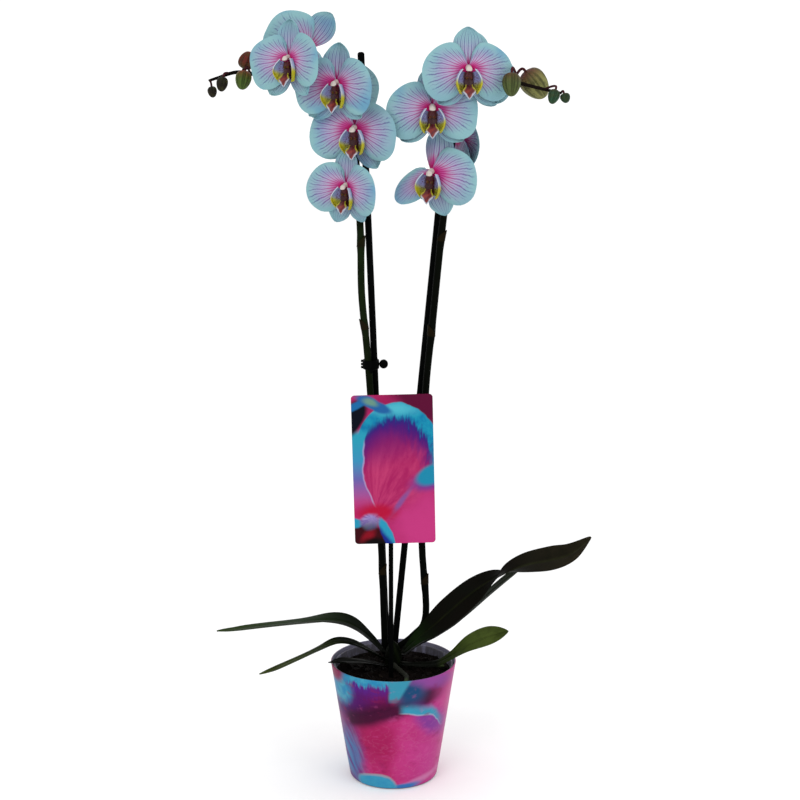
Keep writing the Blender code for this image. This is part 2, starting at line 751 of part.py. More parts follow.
def make_bud(name, base, tip, width, finish_material):
    """A closed bud: a ball drawn out along its axis and fuller near its base."""
    base, tip = above_bark(base), above_bark(tip)
    length = (tip - base).length
    mesh = bpy.data.meshes.new(name)
    build = bmesh.new()
    bmesh.ops.create_uvsphere(build, u_segments=10, v_segments=7, radius=0.5)
    for vertex in build.verts:
        fullness = 1.0 - 0.35 * vertex.co.z
        vertex.co.x *= width * fullness
        vertex.co.y *= width * fullness
        vertex.co.z *= length
    build.to_mesh(mesh)
    build.free()
    bud = new_object(name, mesh)
    bud.rotation_mode = "QUATERNION"
    bud.rotation_quaternion = (tip - base).to_track_quat("Z", "Y")
    bud.location = (base + tip) / 2
    return finish(smooth_shaded(bud), name, finish_material)


# ---------------------------------------------------------------- flowers


def flower_frame(place, turn, tilt, roll, size):
    """A flower's own frame: X to the right, Y up and Z out of its face."""
    turn, tilt = math.radians(turn), math.radians(tilt)
    facing = Vector((math.sin(turn) * math.cos(tilt), -math.cos(turn) * math.cos(tilt), math.sin(tilt)))
    right = Vector((0, 0, 1)).cross(facing).normalized()
    up = facing.cross(right)
    axes = Matrix((right, up, facing)).transposed().to_4x4()
    spin = Matrix.Rotation(math.radians(roll), 4, "Z")
    return Matrix.Translation(place) @ axes @ spin @ Matrix.Scale(size, 4)


def lobe_reach(angle, direction, reach, half_width):
    """Distance to a lobe's edge from the flower's middle, for an oval that starts there."""
    turn = math.remainder(angle - direction, 2 * math.pi)
    if abs(turn) >= math.pi / 2:
        return 0.0
    flatness = reach / (2 * half_width)
    return reach * math.cos(turn) / (math.cos(turn) ** 2 + (flatness * math.sin(turn)) ** 2)


def sepal_reach(angle):
    lobes = [math.radians(direction) for direction in (90, 228, 312)]
    return max(FLOWER_HUB, *(lobe_reach(angle, lobe, SEPAL_REACH, SEPAL_HALF_WIDTH) for lobe in lobes))


def petal_reach(angle):
    lobes = (PETAL_LIFT, math.pi - PETAL_LIFT)
    return max(FLOWER_HUB, *(lobe_reach(angle, lobe, PETAL_REACH, PETAL_HALF_HEIGHT) for lobe in lobes))


def tepal_sheet(name, reach_at, rise_at, left_bend, right_bend, sectors=22):
    """A rosette of tepals as one sheet, each half bent back about the flower's upright."""
    build = bmesh.new()
    middle = build.verts.new((0, 0, rise_at(0.0)))
    rings = [[], []]
    for sector in range(sectors):
        angle = 2 * math.pi * (sector + 0.5) / sectors
        for ring, share in zip(rings, (0.5, 1.0)):
            reach = reach_at(angle) * share
            x, y = reach * math.cos(angle), reach * math.sin(angle)
            bend = math.radians(left_bend if x < 0 else right_bend)
            ring.append(build.verts.new((x * math.cos(bend), y, rise_at(reach) - abs(x) * math.sin(bend))))
    for i in range(sectors):
        j = (i + 1) % sectors
        build.faces.new((middle, rings[0][i], rings[0][j]))
        build.faces.new((rings[0][i], rings[1][i], rings[1][j], rings[0][j]))
    mesh = bpy.data.meshes.new(name)
    build.to_mesh(mesh)
    build.free()
    return thickened(smooth_shaded(new_object(name, mesh)), TEPAL_THICKNESS, 0.0)


def oval(name, size, centre, lean=0.0):
    """A small rounded body of the given size across X, Y and Z, leant about X."""
    mesh = bpy.data.meshes.new(name)
    build = bmesh.new()
    bmesh.ops.create_icosphere(build, subdivisions=2, radius=0.5)
    bmesh.ops.scale(build, vec=size, verts=build.verts)
    bmesh.ops.rotate(build, cent=(0, 0, 0), matrix=Matrix.Rotation(math.radians(lean), 3, "X"),
                     verts=build.verts)
    bmesh.ops.translate(build, vec=centre, verts=build.verts)
    build.to_mesh(mesh)
    build.free()
    return new_object(name, mesh)


def make_lip_mesh():
    """The lip with its side lobes and the column above it, as one body."""
    seat = TEPAL_THICKNESS / 2 + GAP
    column = oval("lip_column", (0.0060, 0.0080, COLUMN_LENGTH), (0, 0.0005, seat + COLUMN_LENGTH / 2))
    cup = oval("lip_cup", (LIP_WIDTH, 0.0190, 0.0090), (0, -0.0105, seat + 0.0075), 12)
    tongue = oval("lip_tongue", (0.0100, LIP_TONGUE_LENGTH, 0.0050), (0, -0.0215, seat + 0.0090), -12)
    boolean(column, as_cutter(cup, "lip_cup"), "UNION")
    boolean(column, as_cutter(tongue, "lip_tongue"), "UNION")
    whole = plain_mesh(column)
    mesh = whole.data
    bpy.data.objects.remove(whole, do_unlink=True)
    return mesh


def make_flower(name, spec, lip_mesh, finishes):
    place, turn, tilt, roll, size, left_bend, right_bend = spec
    frame = flower_frame(above_bark(place), turn, tilt, roll, size)
    sheets = (
        ("sepals", sepal_reach, lambda reach: -TEPAL_SPACING - SEPAL_SWEEP * reach),
        ("petals", petal_reach, lambda reach: 0.0),
    )
    for part, reach_at, rise_at in sheets:
        sheet = tepal_sheet(f"{name}_{part}", reach_at, rise_at, left_bend, right_bend)
        sheet.matrix_world = frame
        finish(sheet, f"{name}_{part}", finishes[part])
    lip = new_object(f"{name}_lip", lip_mesh.copy())
    lip.matrix_world = frame
    finish(lip, f"{name}_lip", finishes["lip"])


# ---------------------------------------------------------------- the whole plant


def make_orchid():
    leaf_green = material("leaf green", (0.022, 0.045, 0.014), 0.45)
    stem_green = material("stem green", (0.020, 0.035, 0.012), 0.50)
    bud_green = material("bud green", (0.140, 0.170, 0.060), 0.50)
    root_grey = material("root grey", (0.300, 0.330, 0.260), 0.80)
    dark_plastic = material("dark plastic", (0.008, 0.010, 0.009), 0.40)
    finishes = {
        "sepals": material("sepal blue", (0.290, 0.540, 0.590), 0.55),
        "petals": material("petal blue", (0.320, 0.500, 0.640), 0.55),
        "lip": material("lip maroon", (0.180, 0.030, 0.050), 0.45),
    }

    make_outer_pot(material("printed sleeve", (0.640, 0.050, 0.230), 0.30))
    make_growing_pot(material("clear grey plastic", (0.350, 0.360, 0.380), 0.30))
    make_bark(material("bark brown", (0.020, 0.013, 0.009), 0.90))
    make_crown(leaf_green)
    for name, (direction, rise, course) in ROOTS.items():
        make_root(name, direction, rise, course, root_grey)
    for name, (direction, rise, half_width, roll, course) in LEAVES.items():
        make_leaf(name, direction, rise, half_width, roll, course, leaf_green)

    left_path = spike_path(LEFT_SPIKE_FOOT, LEFT_SPIKE_COURSE)
    right_path = spike_path(RIGHT_SPIKE_FOOT, RIGHT_SPIKE_COURSE)
    make_spike("left_spike", left_path, LEFT_FLOWERS, LEFT_BUDS, stem_green)
    make_spike("right_spike", right_path, RIGHT_FLOWERS, RIGHT_BUDS, stem_green)
    make_stake("left_stake", LEFT_STAKE_FOOT, LEFT_STAKE_SLOPE, LEFT_STAKE_RISE, dark_plastic)
    make_stake("right_stake", RIGHT_STAKE_FOOT, RIGHT_STAKE_SLOPE, RIGHT_STAKE_RISE, dark_plastic)
    make_clip(left_path, dark_plastic)
    make_label_stick(dark_plastic)
    make_label_card(material("printed card", (0.640, 0.060, 0.260), 0.35))

    lip_mesh = make_lip_mesh()
    for side, flowers, buds in (("left", LEFT_FLOWERS, LEFT_BUDS), ("right", RIGHT_FLOWERS, RIGHT_BUDS)):
        for number, spec in enumerate(flowers, 1):
            make_flower(f"{side}_flower_{number}", spec, lip_mesh, finishes)
        for number, (_, base, tip, width) in enumerate(buds, 1):
            make_bud(f"{side}_bud_{number}", base, tip, width, bud_green)


make_orchid()
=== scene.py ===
"""Looks for the potted orchid: pale blue flowers with magenta veins on two dark spikes."""

import math
import random

import bmesh
import bpy
from mathutils import Matrix, Vector


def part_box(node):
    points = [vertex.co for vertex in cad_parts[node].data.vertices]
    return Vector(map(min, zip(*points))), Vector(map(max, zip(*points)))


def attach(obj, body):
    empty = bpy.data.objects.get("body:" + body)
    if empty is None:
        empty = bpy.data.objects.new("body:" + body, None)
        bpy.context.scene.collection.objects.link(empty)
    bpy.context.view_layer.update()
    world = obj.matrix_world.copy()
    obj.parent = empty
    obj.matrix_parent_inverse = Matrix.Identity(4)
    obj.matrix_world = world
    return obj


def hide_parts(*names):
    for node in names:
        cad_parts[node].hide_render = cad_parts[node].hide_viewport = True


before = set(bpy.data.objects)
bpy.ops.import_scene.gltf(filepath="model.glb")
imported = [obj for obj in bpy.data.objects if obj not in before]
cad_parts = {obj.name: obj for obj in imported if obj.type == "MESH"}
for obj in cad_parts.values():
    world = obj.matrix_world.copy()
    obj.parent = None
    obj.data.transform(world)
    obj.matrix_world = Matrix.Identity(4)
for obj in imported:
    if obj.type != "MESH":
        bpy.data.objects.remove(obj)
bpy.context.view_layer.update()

# ---------------------------------------------------------------- sizes shared with the part

POT_HEIGHT = 0.120
POT_RIM_RADIUS = 0.0625
POT_BASE_RADIUS = 0.0440
POT_WALL = 0.0015
BARK_LEVEL = 0.109
CROWN_Y = 0.0040
CROWN_RADIUS = 0.0085
CROWN_RISE = 0.0290
ROOT_RADIUS = 0.0024
STAKE_RADIUS = 0.0033
STAKE_LEAN = -0.020
SPIKE_RADIUS = 0.0034
SPIKE_TIP_RADIUS = 0.0012
PEDICEL_RADIUS = 0.0013
LEAF_THICKNESS = 0.0018
LEAF_FOLD = 0.22
TEPAL_SPACING = 0.0016
SEPAL_REACH = 0.0390
SEPAL_HALF_WIDTH = 0.0130
SEPAL_SWEEP = 0.10
PETAL_REACH = 0.0425
POT_SLOPE = (POT_RIM_RADIUS - POT_BASE_RADIUS) / POT_HEIGHT
PEDICEL_DROP = 0.012
TURN = 2 * math.pi
PER_METRE = 1000                # millimetres in a metre, for the tables

# Lengths in these tables are millimetres from the middle of the bark's top.
# Flowers: centre, turn to the right of -Y, tilt up, roll, size, bend of the left and right half,
# directions of the two lower sepals, and strength of the markings.
LEFT_FLOWERS = (
    ((-42.5, -45, 487), -28, -4, -3, 0.9, -12, -16, 250, 303, 0.75),
    ((-34.5, -43, 539), -18, -2, 0, 1, -8, -8, 214, 300, 0.8),
    ((-50, -57, 580), -24, 2, 0, 0.96, -8, -14, 232, 310, 0.75),
    ((-93, -55, 602), -30, 4, 4, 0.93, -8, -16, 234, 300, 0.6),
    ((-77.3, -16, 612.1), 16, 0, -37, 1, 0, 10, 228, 312, 0.55),
    ((-54, 44, 576), 170, 2, 0, 0.96, 0, 0, 228, 312, 0.6),
)
RIGHT_FLOWERS = (
    ((36, -38, 499), -18, -2, -4, 1.02, 50, 4, 218, 290, 1),
    ((36, -50, 558), 0, 2, 0, 0.99, -4, -4, 226, 314, 0.55),
    ((68, -62, 593), 3, 4, 0, 0.99, -4, 14, 229, 313, 0.55),
    ((64, 24, 527), 112, 0, 0, 0.95, 0, 0, 226, 314, 0.6),
    ((76, 42, 589), 168, 0, 8, 0.96, 0, 0, 226, 314, 0.6),
)
# Buds: where the stalk leaves the spike (x), the bud's base, its tip, its width, and its colours.
LEFT_BUDS = (
    (-169, (-167.5, -19, 576.3), (-166, -21, 566.2), 8.5, "16180F", "20150F"),
    (-150, (-156.5, -19, 585), (-158.8, -21.5, 571.7), 10.5, "171D12", "1E1510"),
    (-131, (-136, -21.5, 590.8), (-139.6, -24, 573.5), 14.5, "8A2C20", "56702C"),
    (-124, (-139, -3, 592), (-132.5, -4, 607.5), 15, "5C5A38", "7C2C22"),
)
RIGHT_BUDS = (
    (114.3, (107, -63, 589.5), (106.2, -69, 568.9), 16.5, "6E3A2A", "5F6C3C"),
    (112, (122.2, -21, 590), (140.9, -16, 566.4), 24.5, "6A3430", "9A9A5C"),
    (139, (148.2, -45, 574.3), (144.3, -48, 561.5), 10.5, "3A3A22", "345A40"),
    (153.6, (155.8, -45, 570.8), (158.3, -47.5, 562.4), 9, "2A3A22", "2C4A34"),
)
# The course of each spike, and the direction of its foot beside the crown.
LEFT_SPIKE_FOOT, RIGHT_SPIKE_FOOT = 135, 98
LEFT_SPIKE_COURSE = (
    (-9.2, 11.2, 42), (-12.2, 9, 130), (-17.8, 7.8, 211), (-22.5, 7, 286), (-25.8, 6.2, 330.5),
    (-30.3, 4, 381), (-31, 2, 436.7), (-34.5, -0.5, 501), (-40, -1, 551), (-54, 8, 580), (-74, 24, 587),
    (-98, 14, 587.5), (-125, -6, 587), (-145, -10.5, 589), (-162, -13, 584), (-170, -15, 581.5),
)
RIGHT_SPIKE_COURSE = (
    (20, 15, 31), (32.5, 11, 55), (28.3, 8.5, 130), (29.5, 8, 211), (31.8, 7.5, 286), (38, 6, 351),
    (44.7, 4, 422.4), (50.5, 1.5, 476), (55.6, -0.5, 521.6), (62, -0.5, 556), (76, -8, 581),
    (94.6, -28, 586.6), (114.3, -35, 580.2), (138.9, -37, 574), (153.6, -39, 570.8),
)
SPIKE_FOOT_RISE = 14
# Stakes: foot (x, y), change of x and y by height, and top.
LEFT_STAKE = (-6.1, 19.5, -0.0394, STAKE_LEAN, 606)
RIGHT_STAKE = (-0.5, 26.5, 0.0960, STAKE_LEAN, 526)
# Leaves: direction and height of the foot on the crown, foot half width and roll, then the course
# as (x, y, height, half width, roll).
LEAVES = {
    "leaf_left_long": (200, 20, 4, -10, (
        (-23, 0, 33, 7.5, -14), (-40, -2, 47, 12.5, -12), (-60, -4, 53, 15, -4), (-90, -6, 52, 15, 12),
        (-125, -8, 49, 13, 18), (-155, -10, 46, 9, 18), (-175, -11, 44.5, 1.5, 18),
    )),
    "leaf_left_low": (222, 12.5, 4, -6, (
        (-20, -13, 23, 5.5, -8), (-37, -23, 35, 8, -6), (-54, -32, 40.5, 9.5, 4),
        (-72, -39, 36, 9.5, 12), (-95, -45, 27, 8.5, 14), (-115, -49, 19, 6, 14),
        (-130, -51, 14.5, 1.5, 14),
    )),
    "leaf_rim": (226, 6, 3.6, -4, (
        (-17, -12, 10, 5.5, -4), (-33, -19, 15, 8, 0), (-50, -24, 17.5, 7, 4), (-64, -25, 17, 1.5, 6),
    )),
    "leaf_right_twisted": (350, 20, 4.5, 20, (
        (25, 0, 34, 7.5, 45), (40, -4, 48, 11, 66), (56, -7, 64, 13.5, 68), (77, -9, 83, 13.5, 56),
        (98, -10, 98, 12.5, 14), (115, -10, 107.5, 12, -44), (133, -10, 114, 13, -70),
        (156, -10, 118.5, 14, -74), (175, -10, 125, 10.5, -72), (194, -10, 141, 3.5, -66),
    )),
    "leaf_right_rear": (26, 12.5, 4, -6, (
        (25, 19, 20, 6, -10), (45, 26, 28, 9, -10), (70, 33, 44, 11, -8), (98, 37, 68, 11, -6),
        (120, 38, 87, 8, -4), (132, 38, 97, 1.5, -4),
    )),
    "leaf_right_small": (318, 7, 3.5, 10, (
        (20, -13, 10, 4, 14), (40, -22, 14, 4.5, 24), (56, -28, 24, 6, 34), (75, -34, 39, 9.5, 40),
        (95, -38, 49, 10, 40), (112, -40, 55, 3, 40),
    )),
}
# Direction and height of each root's foot, then its course as shares of the bark's radius.
ROOTS = {
    "aerial_root_front": (276, 7, ((0.14, -0.27), (0.23, -0.53), (0.21, -0.77))),
    "aerial_root_right": (352, 5.5, ((0.42, 0.035), (0.67, 0.05), (0.88, 0.0))),
}

# ---------------------------------------------------------------- finishes

LIGHT_LEVEL = 1.45              # what the studio's lights add up to on a surface that faces them
WHITE = (1.0, 1.0, 1.0)


def rgb(code):
    """Linear colour that shows as the hex code in the studio's light."""
    values = [int(code[i:i + 2], 16) / 255 for i in (0, 2, 4)]
    linear = [v / 12.92 if v < 0.04045 else ((v + 0.055) / 1.055) ** 2.4 for v in values]
    return tuple(value / LIGHT_LEVEL for value in linear)


class Link:
    """One output socket of a shader; arithmetic on it adds Math nodes."""

    def __init__(self, finish, socket):
        self.finish = finish
        self.socket = socket

    def math(self, operation, *values):
        return self.finish.node("Math", {"operation": operation}, dict(enumerate(values)))

    def __add__(self, other):
        return self.math("ADD", self, other)

    def __sub__(self, other):
        return self.math("SUBTRACT", self, other)

    def __rsub__(self, other):
        return self.math("SUBTRACT", other, self)

    def __mul__(self, other):
        return self.math("MULTIPLY", self, other)

    def __truediv__(self, other):
        return self.math("DIVIDE", self, other)

    def __rtruediv__(self, other):
        return self.math("DIVIDE", other, self)

    def __pow__(self, other):
        return self.math("POWER", self, other)

    def away(self, value):
        """The distance from a value."""
        return self.math("ABSOLUTE", self - value)

    __radd__ = __add__
    __rmul__ = __mul__


class Finish:
    """A material, built node by node on its Principled shader; skin is its colour so far."""

    def __init__(self, name, roughness, gloss):
        self.material = bpy.data.materials.new(name)
        self.material.use_nodes = True
        self.tree = self.material.node_tree
        self.shader = self.tree.nodes["Principled BSDF"]
        self.shader.inputs["Roughness"].default_value = roughness
        self.shader.inputs["Specular IOR Level"].default_value = gloss
        self.point = self.node("TexCoord", output=3)
        self.skin = None

    def node(self, kind, settings=None, sockets=None, output=0):
        """Any node: its type, its settings, and its sockets' values, hex colours or links."""
        made = self.tree.nodes.new("ShaderNode" + kind)
        for key, value in (settings or {}).items():
            if key == "stops":
                for _ in value[2:]:
                    made.color_ramp.elements.new(0.5)
                for element, (position, code) in zip(made.color_ramp.elements, value):
                    element.position = position
                    element.color = (*rgb(code), 1.0)
            else:
                setattr(made, key, value)
        for key, value in (sockets or {}).items():
            if isinstance(value, Link):
                self.tree.links.new(value.socket, made.inputs[key])
            else:
                value = (*rgb(value), 1.0) if isinstance(value, str) else value
                made.inputs[key].default_value = value
        return Link(self, made.outputs[output])

    def attribute(self, name, output=1):
        return self.node("Attribute", {"attribute_name": name}, output=output)

    def split(self, vector):
        made = self.node("SeparateXYZ", None, {0: vector}).socket.node
        return [Link(self, socket) for socket in made.outputs]

    def joined(self, x, y, z):
        return self.node("CombineXYZ", None, {0: x, 1: y, 2: z})

    def mix(self, share, first, second, blend="MIX"):
        """A colour between two colours."""
        settings = {"data_type": "RGBA", "blend_type": blend}
        return self.node("Mix", settings, {0: share, 6: first, 7: second}, 2)

    def lay(self, share, colour, blend="MIX"):
        """Lay a colour over the skin so far."""
        self.skin = self.mix(share, self.skin, colour, blend)

    def step(self, value, low, high):
        """0 below low and 1 above high, smooth between them; falls where low is above high."""
        sockets = {"Value": value, "From Min": min(low, high), "From Max": max(low, high)}
        if low > high:
            sockets.update({"To Min": 1.0, "To Max": 0.0})
        return self.node("MapRange", {"interpolation_type": "SMOOTHSTEP"}, sockets)

    def noise(self, scale, detail=3.0, roughness=0.5, at=None):
        """Noise at the piece's own points, at those points times three factors, or at a place."""
        at = at or self.point
        if not isinstance(at, Link):
            at = self.node("VectorMath", {"operation": "MULTIPLY"}, {0: self.point, 1: at})
        sockets = {"Vector": at, "Scale": scale, "Detail": detail, "Roughness": roughness}
        return self.node("TexNoise", None, sockets)

    def patch(self, x, y, centre, size, soft, turn=0):
        """1 inside an oval and 0 outside it, for a print's shapes."""
        c, s = math.cos(math.radians(turn)), math.sin(math.radians(turn))
        across, up = x - centre[0], y - centre[1]
        along = (across * c + up * s) / size[0]
        aside = (up * c - across * s) / size[1]
        return self.step((along * along + aside * aside) ** 0.5, 1 + soft, 1 - soft)

    def patches(self, x, y, rows):
        """Lay ovals of colour: how strong, centre, size, softness, turn and colour of each."""
        for share, across, up, wide, high, soft, turn, colour in rows:
            oval = self.patch(x, y, (across, up), (wide, high), soft, turn)
            self.lay(oval * share, colour)

    def done(self, roughness=None, height=None, distance=0.0, strength=1.0):
        """The material, with its skin, roughness and relief joined to the shader."""
        links = {"Base Color": self.skin, "Roughness": roughness}
        if height:
            sockets = {"Strength": strength, "Distance": distance, "Height": height}
            links["Normal"] = self.node("Bump", None, sockets)
        for socket, link in links.items():
            if link:
                self.tree.links.new(link.socket, self.shader.inputs[socket])
        return self.material


def tepal_finish(name, lines, middle, fade, plain):
    """Petal skin: veins fan out from a magenta base and end before a plain pale margin."""
    finish = Finish(name, 0.62, 0.05)
    step, noise, lay = finish.step, finish.noise, finish.lay
    along, fan, marking = finish.split(finish.attribute("place"))
    soft = noise(60, 2.0)
    fine = noise(420, 3.0, 0.6)
    broad = noise(26, 2.0)
    bent = fan + (soft - 0.5) * 0.20 * along + (fine - 0.5) * 0.055 * along
    side = fan * fan

    def veins(count, width, start):
        cell = finish.node("Math", {"operation": "FRACT"}, {0: bent * (count / 2) + 40.5})
        share = cell.away(0.5) / (width / (along + 0.08))
        line = 1 - finish.node("Math", {"operation": "MINIMUM", "use_clamp": True}, {0: share, 1: 1.0})
        return line ** 0.7 * step(along, start, start + 0.14)

    # Each vein ends at its own length.
    length = noise(1.0, 1.0, at=finish.joined(fan * lines * 0.8, marking * 31, soft))
    ragged = along + (fine - 0.5) * 0.16 + (length - 0.5) * 0.50
    near = step(ragged - (fade + marking * 0.12 - side * 0.22), 0.05, -0.14)
    main = veins(lines, 0.100, 0.0)
    line = main.math("MAXIMUM", main, veins(lines * 2, 0.085, 0.36) * 0.75) * near
    finish.skin = finish.mix(step(broad, 0.32, 0.62), "8CB8C4", "98C6C8")
    lay(step(broad, 0.50, 0.70) * 0.8, "68A0C4")
    lilac = step(along + side * 0.20 + (soft - 0.5) * 0.40 - marking * 0.20, 0.88, 0.28)
    lay(lilac * middle, "AEA2CA")
    pale = step(along - marking * 0.1 + side * 0.2, 0.66, 0.36) * step(along, 0.14, 0.32)
    lay(pale * middle * 0.40, "D4C6DE")
    bloom = along * (1 + plain * (1.5 - marking))
    reach = bloom + side * 0.18 + (soft - 0.5) * 0.24 - marking * 0.20
    lay(step(reach, 0.36, 0.04), "D2509C")
    stops = ((0.0, "B81462"), (0.28, "B42C80"), (0.46, "8A4694"), (0.72, "565C92"))
    place = bloom - marking * 0.16 + side * 0.10
    lay(line * (0.82 + marking * 0.15), finish.node("ValToRGB", {"stops": stops}, {0: place}))
    heart = step(along + side * 0.05 - marking * 0.05, 0.20, 0.06)
    lay(heart * (1 - plain * 0.4), "C41468")
    speck = noise(1500, 2.0)
    lay(0.16, finish.mix(speck, "7090A8", "FFFFFF"), "SOFT_LIGHT")
    return finish.done(None, line * -0.6 + speck * 0.25 + soft * 0.4, 0.0004, 0.6)


def lip_finish():
    """Waxy lip: tinted in zones, with dark freckles inside."""
    finish = Finish("lip wax", 0.38, 0.25)
    *_, freckled = finish.split(finish.attribute("place"))
    freckle = finish.step(finish.noise(900, 2.0, 0.7), 0.52, 0.62) * freckled
    cloud = finish.noise(350, 2.0)
    finish.skin = finish.attribute("tint", 0)
    finish.lay(freckle, "4E1420")
    finish.lay(cloud * 0.35, "FFFFFF", "SOFT_LIGHT")
    return finish.done(0.30 + cloud * 0.2, cloud + freckle * 0.3, 0.0003, 0.5)


def grown_finish(name, roughness, gloss, lines, relief, blotch, blotches=60):
    """Leaf, stem or bud skin: its own tint, with fine lines along it and darker blotches."""
    finish = Finish(name, roughness, gloss)
    along, across, _ = finish.split(finish.attribute("place"))
    cloud = finish.noise(blotches, 4.0, 0.6)
    grain = finish.noise(1.0, 3.0, 0.7, finish.joined(along * 3.0, across * lines, 0.0))
    fine = finish.noise(1100, 2.0)
    finish.skin = finish.attribute("tint", 0)
    finish.lay(finish.step(cloud, 0.42, 0.75) * 0.7, blotch)
    finish.lay(finish.step(grain, 0.45, 0.62) * 0.30, "8C9A4C", "SOFT_LIGHT")
    finish.lay(finish.step(grain, 0.55, 0.35) * 0.35, "101408", "MULTIPLY")
    return finish.done(roughness - 0.08 + cloud * 0.16, grain * 0.8 + fine * 0.2, relief, 0.6)


def root_finish():
    """Aerial root: near black, painted shade of the pot over its silvery grey skin; greener where it is
    young, with fine cracks.
    """
    finish = Finish("root skin", 0.85, 0.15)
    along, *_ = finish.split(finish.attribute("place"))
    cloud = finish.noise(160, 4.0, 0.6)
    crack = finish.noise(900, 3.0, at=(1.0, 1.0, 3.0))
    # Near black: painted shade inside the pot, in place of the root's silvery grey.
    finish.skin = finish.mix(cloud, "0C0E0A", "26281E")
    finish.lay(finish.step(along, 0.78, 1.0) * 0.8, "3C4A28")
    finish.lay(finish.step(crack, 0.60, 0.68) * 0.6, "2A2A20")
    return finish.done(None, cloud + crack * 0.5, 0.0004, 0.8)


def bark_finish(name, pale):
    """Fir bark: near black, its own dark brown deepened with painted shade inside the pot; with brown
    grain and a few grey fibres.
    """
    finish = Finish(name, 0.85, 0.05)
    grain = finish.noise(170, 5.0, 0.7, (1.0, 2.6, 1.6))
    lump = finish.noise(95, 3.0)
    # Near black: dark brown bark with painted shade of the pot's inside laid into its colour.
    finish.skin = finish.mix(grain, "020101", "140C08")
    finish.lay(finish.step(lump, 0.62, 0.76) * pale, "3A3026")
    return finish.done(0.70 + grain * 0.25, grain + lump * 0.6, 0.0010, 0.9)


def plastic_finish(name, base, mottle, roughness, gloss):
    """Moulded plastic: a fine grained skin with handling marks."""
    finish = Finish(name, roughness, gloss)
    grain = finish.noise(1300, 2.0)
    marks = finish.noise(210, 4.0, 0.65, (1.0, 1.0, 0.25))
    finish.skin = finish.mix(finish.step(marks, 0.45, 0.75), base, mottle)
    return finish.done(roughness - 0.06 + marks * 0.14, grain * 0.6 + marks * 0.4, 0.0002, 0.5)


def print_ground(finish, grain, pink, deep):
    """The warm ground of both prints: pink with crimson clouds and fine darker threads."""
    cloud = finish.noise(grain, 4.0, 0.6)
    thread = finish.noise(grain * 6, 3.0, 0.6, (2.6, 2.6, 1.0))
    finish.skin = finish.mix(finish.step(cloud, 0.30, 0.70), deep, pink)
    finish.lay(finish.step(thread, 0.56, 0.70) * 0.35, "B0205C")
    return cloud, thread


